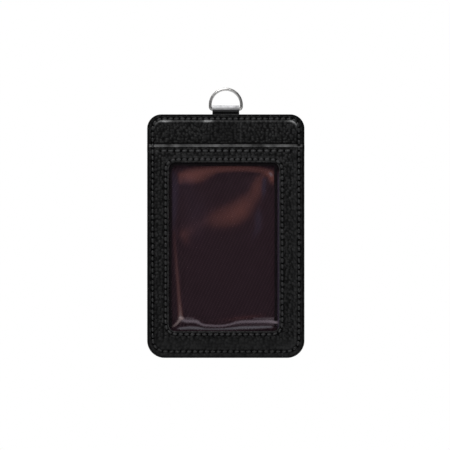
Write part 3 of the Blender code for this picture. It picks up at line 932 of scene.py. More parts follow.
def makeBackPocket(leather):
    steps = pocketForm["steps"]
    topCount, topStart = steps["across"] - 1, steps["topCorner"] + 1

    def notchedLoop(inset):
        loop = mouthLoop(inset)
        left, right = loop[topStart + topCount, 0], loop[topStart - 1, 0]
        x = np.linspace(right, left, 4001)
        wide, deep, corner = notch["half"] + inset, notch["depth"] + inset, notch["corner"]
        dip = deep * np.sqrt(np.clip(1 - (x / wide) ** 2, 0, 1)) - inset
        gap = np.maximum(corner - abs(dip), 0) / corner
        dip = np.maximum(dip, 0) + corner * gap**3 / 6
        line = np.stack((x, mouthZ - inset - dip), 1)
        line[:, 1] += corner / 6 * smooth(abs(x), wide, wide + notch["cornerReach"])
        loop[topStart : topStart + topCount] = evenly(line, topCount + 1, False)[1:-1]
        return loop

    def under(loop):  # on the back panel's face and its rolled edge
        deep = pocketDepth(loop[:, 0], loop[:, 1])
        edge = bandFace + 0.03 * mm - rollDrop(deep, backForm["roll"], case["leather"] - 0.03 * mm)
        return underPocket(deep, edge)

    loops = [notchedLoop(inset) for inset in outerInsets]
    last = roundedLoop(notch["middle"], 0.8 * mm, 0.8 * mm, steps)
    loops += [loops[-1] + (last - loops[-1]) * share for share in notch["shares"]]
    x, z = spread(loops)
    face, inside, below, hole = pocketSurface(x, z, back)
    fromMouth = np.concatenate((outerInsets, np.full(len(notch["shares"]), 1.0)))
    fromMouth = fromMouth[:, None] * np.ones((1, x.shape[1]))
    face = face - rollDrop(inside, edgeForm["roll"], 0.6 * mm, fromMouth, notch["lipReach"])
    rows = [(loops[-2], under(loops[-2]))]
    for inset in notch["backInsets"]:
        rows.append((notchedLoop(inset * mm), under(notchedLoop(inset * mm))))
    wall = notchedLoop(0.0)
    rows.append((wall, under(wall) + 0.02 * mm))
    before = len(rows)
    rows += zip(loops, face)
    middle, gain, width = notch["pressed"]
    pressed = middle + gain * bell(fromMouth, width)
    masks = leatherMasks(before, edgePainted(inside), pressed, ridge(notch["lipShine"], fromMouth), hole)
    piece = addSkin("backPocket", back, rows, False, leather, masks)
    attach(piece, "holder")
    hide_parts("back_pocket")
    print("back pocket sewn")


# Strap round the ring's bar
strapForm = {
    "thickness": 0.65 * mm,
    "split": 0.1 * mm,  # between its two legs
    "neck": 0.8 * mm,
    "edgeRound": 0.28 * mm,
    "crown": 0.05,  # how much thinner it is at its edges
    "bendSteps": 45,
    "pebble": 0.7,
    "colour": (0.004, 0.004, 0.0044, 1),
    "creaseColour": (0.002, 0.002, 0.002, 1),
    "paintedHighlight": (0.62, 0.62, 0.63, 1),  # painted highlight where it is folded over the bar
    "highlightFrom": (-0.4 * mm, -0.1 * mm),  # height over the bar's middle where it starts and is full
    "highlightMore": (0.45, 0.55, 0.1 * mm, 1.1 * mm),  # its strength, and what it gains between these heights
    "roughness": (0.2, 0.34),
    "relief": 0.015 * mm,
}


def strapPath():  # (y, z) up the front leg, over the bar and down the back leg, at even steps
    leg = (strapForm["thickness"] + strapForm["split"]) / 2
    loop, neck = strapHigh.y - strapForm["thickness"] / 2, strapForm["neck"]
    across = leg + neck
    down = math.sqrt((loop + neck) ** 2 - across**2)
    lean = math.atan2(down, across)
    turn = np.linspace(0, lean, 16)
    neckLine = np.stack((-across + neck * np.cos(turn), barZ - down + neck * np.sin(turn)), 1)
    turn = np.linspace(math.pi + lean, math.pi / 2, 40)
    overLine = np.stack((loop * np.cos(turn), barZ + loop * np.sin(turn)), 1)
    half = np.concatenate(([(-leg, strapLow.z)], neckLine, overLine[1:]))
    legLine = evenly(half[:2], 12, False)
    half = np.concatenate((legLine[:-1], evenly(half[1:], strapForm["bendSteps"], False)))
    return np.concatenate((half, half[:-1][::-1] * np.array([-1, 1])))


def makeStrap():
    form = strapForm
    material, tree, shader = newMaterial("strapLeather", Specular_IOR_Level=0.3, IOR=1.5)
    place = millimetres(tree)
    grain = useGroup(tree, pebbleGroup, Place=place, Pebble_size=form["pebble"])
    shade = addMix(tree, grain["Crease"], form["colour"], form["creaseColour"])
    wearAndHighlightShare = useGroup(tree, wearAndHighlightGroup, Place=place, Exposed=readAttribute(tree, "wearAndHighlight"))["WearAndHighlightShare"]
    shade = addMix(tree, wearAndHighlightShare, shade, form["paintedHighlight"])
    rough = addRange(tree, grain["Crease"], 0.0, 1.0, *form["roughness"])
    finishShader(tree, shader, shade, rough, grain["Height"], form["relief"])
    path = strapPath()
    half = form["thickness"] / 2
    steps = {"topCorner": 6, "bottomCorner": 6, "across": 28, "up": 2}
    section = roundedLoop((strapLow.x, strapHigh.x, -half, half), form["edgeRound"], form["edgeRound"], steps)
    across = section[:, 0]
    out = section[:, 1] * (1 - form["crown"] * (across / strapHigh.x) ** 4)
    vertices, faces = sweep(path, np.gradient(path, axis=0), -out, across, False)
    height = path[:, 1] - barZ
    shine, gain, start, end = form["highlightMore"]
    # painted highlight on the top of the fold
    fold = smooth(height, *form["highlightFrom"]) * (shine + gain * smooth(height, start, end))
    wearAndHighlight = {"wearAndHighlight": np.repeat(fold, len(section))}
    piece = addPiece("hangStrap", vertices[:, (1, 0, 2)], faces, material, wearAndHighlight)
    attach(piece, "holder")
    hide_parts("hanging_strap")
    print("strap looped")


# Ring of bent wire
ringForm = {
    "wire": ringHigh.y,
    "shoulder": 2.05 * mm,  # from the bow's middle down to the bar
    "corner": 1.2 * mm,
    "steps": 190,
    "sides": 22,
    "tones": ((0.54, 0.53, 0.515, 1), (0.66, 0.65, 0.64, 1)),
    "toneScale": 1.4,
    "scratches": (2.0, 9.0),  # their scale, and how much finer they are across the wire
    "roughness": (0.30, 0.42),
    "relief": 0.008 * mm,
}


def ringPath():  # (x, z) along the middle of the wire
    radius = ringHigh.x - ringForm["wire"]
    bowZ = ringHigh.z - ringForm["wire"] - radius
    bar = bowZ - ringForm["shoulder"]
    turn = np.linspace(0, math.pi, 80)
    bow = np.stack((radius * np.cos(turn), bowZ + radius * np.sin(turn)), 1)
    corner = ringForm["corner"]
    bend = np.linspace(0, math.pi / 2, 14)
    leftBend = np.stack((corner - radius - corner * np.cos(bend), bar + corner - corner * np.sin(bend)), 1)
    rightBend = leftBend[::-1] * np.array([-1, 1])
    straight = np.linspace(leftBend[-1], rightBend[0], 12)[1:-1]
    return evenly(np.concatenate((bow, leftBend, straight, rightBend)), ringForm["steps"], True)


def makeRing():
    form = ringForm
    material, tree, shader = newMaterial("polishedSteel", Metallic=1.0)
    place = millimetres(tree)
    tone = addRange(tree, addNoise(tree, place, form["toneScale"], 6.0), 0.3, 0.7)
    scale, finer = form["scratches"]
    stretched = addNode(tree, "ShaderNodeMapping", {"Vector": place, "Scale": (1.0, finer, 1.0)})
    drawn = addNoise(tree, stretched, scale, 4.0)
    rough = addRange(tree, drawn, 0.3, 0.75, *form["roughness"])
    finishShader(tree, shader, addMix(tree, tone, *form["tones"]), rough, drawn, form["relief"])
    path = ringPath()
    ahead = np.roll(path, -1, 0) - np.roll(path, 1, 0)
    turn = np.linspace(0, 2 * math.pi, form["sides"], endpoint=False)
    vertices, faces = sweep(path, ahead, form["wire"] * np.cos(turn), form["wire"] * np.sin(turn), True)
    piece = addPiece("wireRing", vertices, faces, material)
    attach(piece, "ring")
    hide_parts("d_ring")
    print("ring bent")


# Stitches: one arched thread for each edge between two holes
stitchForm = {
    "length": 0.53,  # share of the pitch
    "radius": 0.49 * mm,
    "arch": 0.08 * mm,
    "dive": 0.34 * mm,
    "slant": math.radians(4),
    "loose": math.radians(3),
    "thinEnds": 0.45,
    "sides": 6,
    "rings": 7,
    "turns": 5.0,  # of the plies along one stitch
    "tones": {  # painted shade in the twist's valleys, the ridges, and the ridges at the top with a painted highlight
        "edge": (0.0050, 0.0150, 0.0290),
        "inner": (0.0075, 0.0235, 0.0375),
    },
    # the edge thread takes its painted highlight above this height
    "paleAbove": caseTop - 4 * mm,
    "pocketEnds": mouthZ + 0.6 * mm,  # stitches of the edge seam below this height lie on the pockets
    "fuzzScale": 6.0,
    "roughness": (0.36, 0.50),
    "relief": 0.03 * mm,
}


def makeStitchTree():
    tree = bpy.data.node_groups.new("seamStitches", "GeometryNodeTree")
    sizes = ("Stitch length", "Thread radius", "Arch height", "Dive depth", "Slant", "Looseness")
    sockets = {"Geometry": "Geometry"} | {name: "Float" for name in sizes}
    sockets |= {"Outwards": "Vector", "Seed": "Int", "Thread": "Material"}
    for name, kind in sockets.items():
        tree.interface.new_socket(name, in_out="INPUT", socket_type="NodeSocket" + kind)
    tree.interface.new_socket("Geometry", in_out="OUTPUT", socket_type="NodeSocketGeometry")
    start = tree.nodes.new("NodeGroupInput").outputs
    end = tree.nodes.new("NodeGroupOutput")

    ends = addNode(tree, "GeometryNodeInputMeshEdgeVertices").outputs
    direction = addVectors(tree, "SUBTRACT", ends["Position 2"], ends["Position 1"])
    held = addNode(tree, "GeometryNodeCaptureAttribute", {"Geometry": start["Geometry"]}, domain="EDGE")
    held.capture_items.new("VECTOR", "Along")
    fill(tree, held, {"Along": direction})
    middles = addNode(tree, "GeometryNodeMeshToPoints", {"Mesh": held}, mode="EDGES")

    facing = addNode(tree, "FunctionNodeAlignRotationToVector", {"Vector": start["Outwards"]}, axis="Z")
    inputs = {"Rotation": facing, "Vector": held.outputs["Along"]}
    lying = addNode(tree, "FunctionNodeAlignRotationToVector", inputs, axis="X", pivot_axis="Z")
    inputs = {
        2: addMath(tree, "SUBTRACT", start["Slant"], start["Looseness"]),
        3: added(tree, start["Slant"], start["Looseness"]),
        "Seed": start["Seed"],
    }
    slant = addNode(tree, "FunctionNodeRandomValue", inputs, data_type="FLOAT").outputs[1]
    turn = addNode(tree, "ShaderNodeCombineXYZ", {"Z": slant})
    spin = addNode(tree, "FunctionNodeEulerToRotation", {0: turn})
    inputs = {"Rotation": lying, "Rotate By": spin}
    slanted = addNode(tree, "FunctionNodeRotateRotation", inputs, rotation_space="LOCAL")

    halfLength = product(tree, start["Stitch length"], 0.5)
    low = product(tree, start["Dive depth"], -1.0)
    peak = added(tree, product(tree, start["Arch height"], 2.0), start["Dive depth"])
    inputs = {
        "Resolution": stitchForm["rings"],
        "Start": addNode(tree, "ShaderNodeCombineXYZ", {"X": product(tree, halfLength, -1.0), "Z": low}),
        "Middle": addNode(tree, "ShaderNodeCombineXYZ", {"Z": peak}),
        "End": addNode(tree, "ShaderNodeCombineXYZ", {"X": halfLength, "Z": low}),
    }
    arch = addNode(tree, "GeometryNodeCurveQuadraticBezier", inputs)
    share = addNode(tree, "GeometryNodeSplineParameter").outputs["Factor"]
    away = addMath(tree, "ABSOLUTE", addMath(tree, "SUBTRACT", product(tree, share, 2.0), 1.0))
    thinner = product(tree, addMath(tree, "POWER", away, 3.0), stitchForm["thinEnds"])
    taper = addMath(tree, "SUBTRACT", 1.0, thinner)
    shaped = addNode(tree, "GeometryNodeSetCurveRadius", {"Curve": arch, "Radius": taper})
    inputs = {"Resolution": stitchForm["sides"], "Radius": start["Thread radius"]}
    ring = addNode(tree, "GeometryNodeCurvePrimitiveCircle", inputs)
    curves = {}
    for name, curve in (("threadAlong", shaped), ("threadRound", ring)):
        inputs = {"Geometry": curve, "Name": name, "Value": share}
        curves[name] = addNode(tree, "GeometryNodeStoreNamedAttribute", inputs)
    inputs = {"Curve": curves["threadAlong"], "Profile Curve": curves["threadRound"], "Fill Caps": True}
    tube = addNode(tree, "GeometryNodeCurveToMesh", inputs)
    soft = addNode(tree, "GeometryNodeSetShadeSmooth", {"Geometry": tube})
    inputs = {"Points": middles, "Instance": soft, "Rotation": slanted}
    placed = addNode(tree, "GeometryNodeInstanceOnPoints", inputs)
    real = addNode(tree, "GeometryNodeRealizeInstances", {"Geometry": placed})
    thread = addNode(tree, "GeometryNodeSetMaterial", {"Geometry": real, "Material": start["Thread"]})
    fill(tree, end, {"Geometry": thread})
    return tree


def makeThread(name, tones, top):  # painted highlight: paler above the height given as top
    material, tree, shader = newMaterial(name, Specular_IOR_Level=0.6)
    along, around = readAttribute(tree, "threadAlong"), readAttribute(tree, "threadRound")
    turns = added(tree, product(tree, along, stitchForm["turns"]), product(tree, around, 2.0))
    ply = addMath(tree, "SINE", product(tree, turns, 2 * math.pi))
    fuzz = addNoise(tree, millimetres(tree), stitchForm["fuzzScale"], 3.0)
    dark, light, pale = [(value, value, 1.04 * value, 1) for value in tones]
    height = addRange(tree, parted(tree, millimetres(tree))["Z"], top / mm - 1, top / mm)
    # painted shade in the twist's grooves, and a painted highlight above the top height
    shade = addMix(tree, addRange(tree, ply, -1.0, 1.0), dark, addMix(tree, height, light, pale))
    rough = addRange(tree, fuzz, 0.3, 0.7, *stitchForm["roughness"])
    finishShader(tree, shader, shade, rough, added(tree, ply, fuzz), stitchForm["relief"])
    return material


def makeSeam(name, node, tree, thread, side, holes, heights, closed, seed):
    count = len(holes)
    mesh = bpy.data.meshes.new(name)
    vertices = np.stack((holes[:, 0], side * heights, holes[:, 1]), 1)
    edges = [(i, (i + 1) % count) for i in range(count if closed else count - 1)]
    mesh.from_pydata(vertices.tolist(), edges, [])
    piece = addObject(name, mesh)
    modifier = piece.modifiers.new("stitches", "NODES")
    modifier.node_group = tree
    inputs = {
        "Stitch length": stitchForm["length"] * float(np.linalg.norm(holes[1] - holes[0])),
        "Thread radius": stitchForm["radius"],
        "Arch height": stitchForm["arch"],
        "Dive depth": stitchForm["dive"],
        "Slant": stitchForm["slant"],
        "Looseness": stitchForm["loose"],
        "Outwards": (0.0, float(side), 0.0),
        "Seed": seed,
        "Thread": thread,
    }
    for item in tree.interface.items_tree:
        if item.name in inputs:
            modifier[item.identifier] = inputs[item.name]
    bpy.context.view_layer.update()
    evaluated = piece.evaluated_get(bpy.context.evaluated_depsgraph_get())
    plain = bpy.data.meshes.new_from_object(evaluated)
    piece.modifiers.clear()
    piece.data = plain
    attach(piece, "holder")
    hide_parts(node)
    print(name, len(plain.polygons), "faces")


def makeSeams():
    tree = makeStitchTree()
    edge = makeThread("edgeThread", stitchForm["tones"]["edge"], stitchForm["paleAbove"])
    inner = makeThread("innerThread", stitchForm["tones"]["inner"], windowSides[3])
    valley = edgeForm["valley"]
    onPocket = edgeHoles[:, 1] < stitchForm["pocketEnds"]
    rim = np.where(onPocket, rimFace, bandFace) - valley
    makeSeam("frontEdgeStitches", "front_edge_thread", tree, edge, front, edgeHoles, rim, True, 3)
    makeSeam("backEdgeStitches", "back_edge_thread", tree, edge, back, edgeHoles, rim, True, 4)
    level = np.full(len(windowHoles), middleFace - valley)
    makeSeam("windowStitches", "window_thread", tree, inner, front, windowHoles, level, True, 5)
    level = np.full(len(mouthHoles), middleFace - mouthSeam["pull"] * valley)
    makeSeam("mouthStitches", "mouth_thread", tree, inner, front, mouthHoles, level, False, 6)


# Clear film behind the window
filmForm = {
    "thickness": 0.18 * mm,
    "step": 0.31 * mm,
    "level": -filmHigh.y + 0.02 * mm,
    "wave": (0.05 * mm, 30 * mm, 23),  # height, size and seed
    "fold": 0.24 * mm,  # height of the ridges in which the film buckles near the window's bottom
    "patches": (0.1, 20 * mm, 41),  # in the painted copper reflection: strength, size and seed
    "rising": (0.75, 0.28),  # how much of the rising glint is copper, and how much of it is blush
    "rightHighlight": (1.0, 0.2 * mm, 0.5 * mm),  # a cool painted highlight along the window's lit right edge: strength, place and half width
    "rightHighlightTop": (3 * mm, 9 * mm),
    "onRidge": (0.2, 0.5),  # strength of a ridge where it starts to cover the painted edge shadow, and where it is full
    "edgeShadow": {  # painted shadow in from the window's edges: where each part of it starts to fade and where it ends
        "leftCorner": (3.9 * mm, 4.9 * mm),
        "rightCorner": (3.1 * mm, 4.1 * mm),
        "top": (1.2 * mm, 1.7 * mm),
        "left": (0.9 * mm, 2.0 * mm),
        "leftStrength": (0.6, 0.4, 6 * mm, 10 * mm),  # and what it gains below these heights
        "right": (1.0, 1.5 * mm, 0.6 * mm),  # strength, place and half width
        "bottom": (1.0 * mm, 2.2 * mm),
    },
    "clear": (0.08, 0.03, 0.045, 1),
    "tints": {  # colour of each painted reflection and of the painted edge shadow, and how much of the lining it hides
        "copper": ((0.262, 0.096, 0.080, 1), 0.40),
        "lilac": ((0.090, 0.073, 0.125, 1), 0.32),
        "pale": ((0.245, 0.200, 0.232, 1), 0.80),
        "cool": ((0.222, 0.210, 0.236, 1), 0.80),
        "blush": ((0.285, 0.215, 0.215, 1), 0.80),
        "edgeShadow": ((0.0062, 0.0048, 0.0058, 1), 0.95),  # painted shadow where the leather's edge shades the film
    },
    "roughness": (0.30, 0.40),
    "smears": (0.8, 0.35, 0.8),  # their scale, and the noise where the roughness starts to rise and is full
    "streaks": (0.07, 2.0, 1.5),  # scale, detail and distortion
    "relief": 0.2 * mm,
}

filmRidges = {  # x, z and half width in millimetres, and strength, along each ridge's painted highlight
    "pale": (
        (
            (-20.3, -104.8, 0.84, 0.6), (-18.0, -105.5, 0.82, 0.62), (-15.5, -105.4, 0.82, 0.62),
            (-13.2, -105.7, 0.82, 0.66), (-11.5, -106.8, 0.67, 0.54), (-9.5, -107.4, 0.6, 0.56),
            (-5.0, -107.7, 0.57, 0.48), (-0.4, -107.5, 0.57, 0.48), (2.0, -107.0, 0.6, 0.48),
            (4.5, -106.2, 0.67, 0.52), (7.5, -105.8, 0.71, 0.58), (12.5, -105.7, 0.77, 0.62),
            (18.0, -105.6, 0.82, 0.68), (21.0, -105.7, 0.82, 0.85), (23.0, -106.1, 0.76, 0.9),
        ),
        ((-18.2, -104.1, 0.67, 0.28), (-14.8, -104.3, 0.67, 0.24)),
        ((12.9, -104.3, 0.59, 0.22), (21.8, -104.2, 0.59, 0.32)),
        ((3.5, -107.3, 0.5, 0.15), (21.5, -107.1, 0.5, 0.2)),
        ((20.3, -37.8, 0.75, 0.2), (20.9, -38.7, 0.75, 0.22)),
    ),
    "cool": (
        (
            (-22.5, -108.9, 0.5, 0.15), (-20.9, -108.8, 0.63, 0.46), (-16.5, -108.5, 0.77, 0.52),
            (-12.5, -108.7, 0.74, 0.5), (-9.0, -109.1, 0.55, 0.36), (-0.4, -109.1, 0.57, 0.4),
            (3.0, -108.8, 0.67, 0.48), (6.5, -108.5, 0.71, 0.56), (12.0, -108.4, 0.74, 0.56),
            (17.0, -108.2, 0.64, 0.56), (20.8, -108.1, 0.54, 0.5), (22.0, -108.3, 0.42, 0.1),
        ),
    ),
    "blush": (
        (
            (-24.6, -108.1, 0.46, 0.3), (-22.9, -107.1, 0.6, 0.52), (-21.7, -105.8, 0.72, 0.62),
            (-20.5, -104.6, 0.8, 0.8),
        ),
        ((-20.7, -104.1, 0.9, 0.95), (-19.9, -104.4, 0.9, 0.85)),
    ),
}
filmGlints = {  # the same four numbers along each painted reflection
    "copper": (
        (16.8, -38.8, 2.0, 0.26), (15.4, -41.0, 2.7, 0.46), (14.3, -43.7, 3.0, 0.58),
        (13.7, -46.4, 3.2, 0.57), (11.8, -49.4, 3.8, 0.48), (9.2, -52.0, 4.3, 0.64),
        (6.8, -54.6, 4.7, 0.74), (3.4, -56.6, 5.1, 0.62), (-0.5, -57.8, 5.2, 0.5), (-4.5, -58.6, 4.8, 0.4),
        (-8.0, -59.2, 4.2, 0.27), (-12.5, -61.0, 4.0, 0.19), (-16.5, -64.0, 3.4, 0.24),
        (-18.8, -65.6, 3.0, 0.33), (-18.0, -68.4, 2.6, 0.22), (-17.0, -71.0, 2.2, 0.0),
    ),
    "arch": (
        (-21.0, -42.0, 1.2, 0.35), (-20.3, -38.8, 1.7, 0.72), (-17.3, -38.9, 2.5, 0.95),
        (-13.5, -38.1, 2.6, 0.82), (-9.0, -37.1, 2.1, 0.7), (-4.0, -36.2, 1.6, 0.66),
        (3.0, -35.8, 1.4, 0.64), (10.0, -35.8, 1.35, 0.6), (16.0, -36.5, 1.6, 0.58),
        (20.2, -37.9, 1.8, 0.68), (21.6, -40.2, 1.5, 0.7), (22.0, -42.4, 1.3, 0.25),
    ),
    "belly": (
        (-19.8, -41.5, 1.4, 0.28), (-16.0, -41.3, 1.9, 0.34), (-11.0, -40.5, 1.9, 0.26),
        (-6.0, -39.2, 1.6, 0.1),
    ),
    "low": (
        (-8.0, -105.6, 1.0, 0.04), (-4.0, -105.5, 1.1, 0.1), (0.0, -104.9, 1.3, 0.14),
        (6.0, -104.0, 1.2, 0.24), (12.0, -103.3, 1.1, 0.24), (18.0, -102.6, 0.9, 0.14),
    ),
    "rising": (
        (-23.7, -62.0, 0.8, 0.08), (-23.2, -72.0, 0.9, 0.24), (-22.2, -84.0, 0.95, 0.34),
        (-21.4, -95.0, 1.0, 0.42), (-20.9, -100.5, 1.05, 0.6), (-20.7, -103.6, 1.05, 0.8),
    ),
    "lilac": (
        (-24.2, -38.0, 1.6, 0.25), (-23.7, -46.0, 1.9, 0.42), (-23.9, -56.0, 1.7, 0.38),
        (-24.0, -63.0, 1.4, 0.15),
    ),
    "slate": (
        (15.2, -53.5, 1.5, 0.12), (15.0, -57.5, 2.0, 0.38), (14.8, -63.0, 2.0, 0.34),
        (12.8, -66.5, 2.0, 0.2), (11.2, -71.0, 2.0, 0.05),
    ),
    "streak": (
        (17.7, -41.0, 1.2, 0.28), (17.5, -45.0, 1.3, 0.34), (17.3, -49.0, 1.2, 0.18), (17.0, -53.0, 1.0, 0.0),
    ),
    "corner": (
        (17.6, -38.6, 1.1, 0.15), (20.2, -38.4, 1.3, 0.4), (20.6, -40.6, 1.2, 0.36), (20.4, -43.0, 1.1, 0.1),
    ),
    "haze": (
        (-18.0, -45.0, 6.0, 0.17), (-14.0, -53.0, 8.0, 0.17), (-13.0, -67.0, 7.0, 0.13),
        (-10.0, -80.0, 7.0, 0.04),
    ),
}


def along(x, z, points):  # a soft line through the points, at its strength
    best = np.zeros_like(x)
    for (x1, z1, wide1, strong1), (x2, z2, wide2, strong2) in zip(points, points[1:]):
        runX, runZ = (x2 - x1) * mm, (z2 - z1) * mm
        share = np.clip(((x - x1 * mm) * runX + (z - z1 * mm) * runZ) / (runX**2 + runZ**2), 0, 1)
        away = np.hypot(x - x1 * mm - runX * share, z - z1 * mm - runZ * share)
        wide = (wide1 + (wide2 - wide1) * share) * mm
        best = np.maximum(best, (strong1 + (strong2 - strong1) * share) * bell(away, wide))
    return best


def edgeShadowMask(fromLeft, fromRight, fromBottom, fromTop):  # the painted shadow along the window's edge
    form = filmForm["edgeShadow"]
    leftCorner = smooth(fromTop + fromLeft, *form["leftCorner"])
    rightCorner = smooth(fromTop + fromRight, *form["rightCorner"])
    edgeShadow = np.maximum(1 - leftCorner * rightCorner, 1 - smooth(fromTop, *form["top"]))
    strength, gain, start, end = form["leftStrength"]
    left = strength + gain * (1 - smooth(fromBottom, start, end))
    edgeShadow = np.maximum(edgeShadow, left * (1 - smooth(fromLeft, *form["left"])))
    edgeShadow = np.maximum(edgeShadow, ridge(form["right"], fromRight))
    return edgeShadow * smooth(fromBottom, *form["bottom"])


def filmMasks(x, z):  # painted reflections: coppery, lilac and pale glints where the curled film would throw back light, and the painted edge shadow
    strength, size, seed = filmForm["patches"]
    patchy = 1 - strength + strength * lumps(x, z, size, seed)
    copperShare, blushShare = filmForm["rising"]
    glint = {name: along(x, z, points) for name, points in filmGlints.items()}
    copper = np.maximum(glint["copper"], glint["arch"]) + glint["belly"] + glint["low"] + glint["corner"]
    copper = copper * patchy + copperShare * glint["rising"]
    cold = sum(glint[name] for name in ("lilac", "slate", "streak", "haze"))
    each = {
        tone: np.max([along(x, z, points) for points in lines], axis=0) for tone, lines in filmRidges.items()
    }
    each["blush"] = np.maximum(each["blush"], blushShare * glint["rising"])
    stacked = np.stack(list(each.values()))
    ridges, strongest = stacked.max(axis=0), stacked.argmax(axis=0)
    fromRight, fromTop = windowSides[1] - x, windowSides[3] - z
    edgeShadow = edgeShadowMask(x - windowSides[0], fromRight, z - windowSides[2], fromTop)
    rightEdgeHighlight = ridge(filmForm["rightHighlight"], fromRight) * smooth(fromTop, *filmForm["rightHighlightTop"])
    onRidge = smooth(ridges, *filmForm["onRidge"])
    masks = {
        "copper": copper * (1 - edgeShadow),
        "lilac": cold * (1 - edgeShadow) + rightEdgeHighlight,
        "edgeShadow": edgeShadow * (1 - onRidge),
        "ridge": ridges,
    }
    for i, tone in enumerate(each):
        masks[tone] = np.where(strongest == i, ridges, 0.0) * np.maximum(1 - edgeShadow, onRidge)
    return masks


def makeFilm():
    form = filmForm
    columns = round((filmHigh.x - filmLow.x) / form["step"])
    rows = round((filmHigh.z - filmLow.z) / form["step"])
    x, z = np.meshgrid(np.linspace(filmLow.x, filmHigh.x, columns), np.linspace(filmLow.z, filmHigh.z, rows))
    fromWindow = windowDepth(x, z)
    masks = filmMasks(x, z)
    height, wave, seed = form["wave"]
    waves = height * (1 + lumps(x, z, wave, seed)) * smooth(fromWindow, 0.3 * mm, 3.5 * mm)
    folds = form["fold"] * masks.pop("ridge") * smooth(fromWindow, 0.2 * mm, 1.0 * mm)
    out = form["level"] + waves + folds
    top = np.stack((x, -out - form["thickness"], z), 2).reshape(-1, 3)
    index = np.arange(len(top)).reshape(rows, columns)
    quads = np.stack((index[:-1, :-1], index[:-1, 1:], index[1:, 1:], index[1:, :-1]), 2).reshape(-1, 4)
    rim = np.concatenate((index[0, :], index[1:, -1], index[-1, -2::-1], index[-2:0:-1, 0]))
    behind = top[rim] * np.array([1, 0, 1]) - np.array([0, form["level"], 0])
    after = np.arange(len(rim)) + len(top)
    wall = np.stack((rim, after, np.roll(after, -1), np.roll(rim, -1)), 1)
    faces = quads.tolist() + wall.tolist() + [after.tolist()]
    edge = np.zeros(len(rim))
    masks = {name: np.concatenate((np.clip(mask, 0, 1).ravel(), edge)) for name, mask in masks.items()}
    piece = addPiece("windowFilm", np.concatenate((top, behind)), faces, makeFilmFinish(), masks)
    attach(piece, "holder")
    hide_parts("window_film")
    print("film set")


def makeFilmFinish():
    form = filmForm
    material, tree, shader = newMaterial("clearFilm", Specular_IOR_Level=0.08, IOR=1.5)
    place = millimetres(tree)
    tone, alpha = form["clear"], 0.0
    for name, (colour, cover) in form["tints"].items():
        mask = readAttribute(tree, name)
        tone = addMix(tree, addRange(tree, mask, 0.0, 0.3), tone, colour)
        alpha = added(tree, alpha, product(tree, mask, cover), clamp=True)
    fill(tree, shader, {"Alpha": alpha})
    scale, low, high = form["smears"]
    rough = addRange(tree, addNoise(tree, place, scale, 6.0), low, high, *form["roughness"])
    streaks = addNoise(tree, place, *form["streaks"])
    finishShader(tree, shader, tone, rough, streaks, form["relief"])
    return material


# Twill lining behind the film
liningForm = {
    "step": 1.1 * mm,
    "thickness": 0.16 * mm,
    "level": -liningLow.y - 0.05 * mm,
    "unevenness": (0.03 * mm, 34 * mm, 29),
    "topCorner": 0.1 * mm,
    "bottomCorner": case["bottomRadius"] - 4.1 * mm,
    "insets": np.array([0, 0.4, 1.2, 2.4, 4, 6, 9, 12, 15, 18, 21, 24, 27, 29.5, 31.4]) * mm,
    "lineTurn": math.radians(65),
    "linePitch": 1.38,  # millimetres from line to line
    "yarnPitch": 0.9,
    "ground": (0.0138, 0.0054, 0.0090, 1),
    "line": (0.0250, 0.0106, 0.0164, 1),
    "roughness": (0.85, 0.65),
    "relief": 0.06 * mm,
}


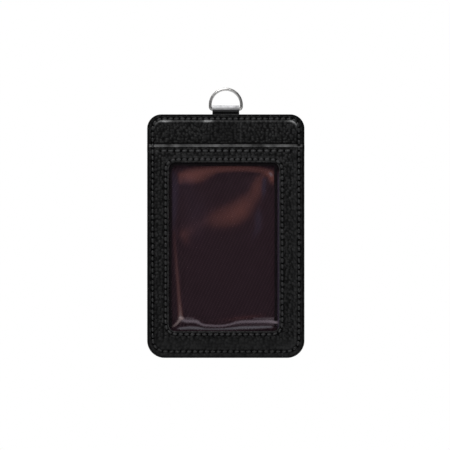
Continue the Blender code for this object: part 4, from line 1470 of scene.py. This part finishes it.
def makeTwill():
    form, waves = liningForm, []
    material, tree, shader = newMaterial("twillCloth", Specular_IOR_Level=0.15, Sheen_Weight=0.05)
    place = parted(tree, millimetres(tree))
    sine, cosine = math.sin(form["lineTurn"]), math.cos(form["lineTurn"])
    for shareX, shareZ, pitch in ((sine, -cosine, form["linePitch"]), (cosine, sine, form["yarnPitch"])):
        phase = added(tree, product(tree, place["X"], shareX), product(tree, place["Z"], shareZ))
        waves.append(addMath(tree, "SINE", product(tree, phase, 2 * math.pi / pitch)))
    line, yarn = waves
    woven = product(tree, addRange(tree, line, -0.6, 0.9), addRange(tree, yarn, -0.9, 0.6, 0.25, 1.0))
    ground = addMix(tree, woven, form["ground"], form["line"])
    rough = addRange(tree, woven, 0.0, 1.0, *form["roughness"])
    finishShader(tree, shader, ground, rough, woven, form["relief"])
    return material


def makeLining():
    form = liningForm
    width, height = liningHigh.x - liningLow.x, liningHigh.z - liningLow.z
    steps = {"topCorner": 3, "bottomCorner": 10}
    steps |= {"across": round(width / form["step"]), "up": round(height / form["step"])}
    sides = (liningLow.x, liningHigh.x, liningLow.z, liningHigh.z)
    loops = []
    for inset in form["insets"]:
        bottomRadius = max(form["bottomCorner"] - inset, form["topCorner"])
        loops.append(roundedLoop(drawnIn(sides, inset), form["topCorner"], bottomRadius, steps))
    x, z = spread(loops)
    rise, wave, seed = form["unevenness"]
    out = form["level"] + rise * lumps(x, z, wave, seed)
    rows = [(loop, level - form["thickness"]) for loop, level in zip(loops[::-1], out[::-1])]
    rows += zip(loops, out)
    piece = addSkin("pocketLining", front, rows, False, makeTwill())
    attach(piece, "holder")
    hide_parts("pocket_lining")
    print("lining laid")


# Board inside, which keeps its own shape
boardLook = {
    "tones": ((0.2, 0.19, 0.175, 1), (0.3, 0.29, 0.265, 1)),
    "fibreScale": 1.8,
    "roughness": (0.8, 0.95),
    "relief": 0.05 * mm,
}


def finishBoard():
    material, tree, shader = newMaterial("greyBoard", Specular_IOR_Level=0.1)
    fibres = addNoise(tree, millimetres(tree), boardLook["fibreScale"], 6.0)
    rough = addRange(tree, fibres, 0.3, 0.7, *boardLook["roughness"])
    finishShader(tree, shader, addMix(tree, fibres, *boardLook["tones"]), rough, fibres, boardLook["relief"])
    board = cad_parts["core_board"]
    board.data.materials.clear()
    board.data.materials.append(material)
    print("board finished")


makeCamera()
makeStudio()
leather = makeLeather(leatherLook)
makeFrontPanel(leather)
makeFrontBand(leather)
makeBackPanel(leather)
makeBackPocket(leather)
makeStrap()
makeRing()
makeSeams()
makeFilm()
makeLining()
finishBoard()
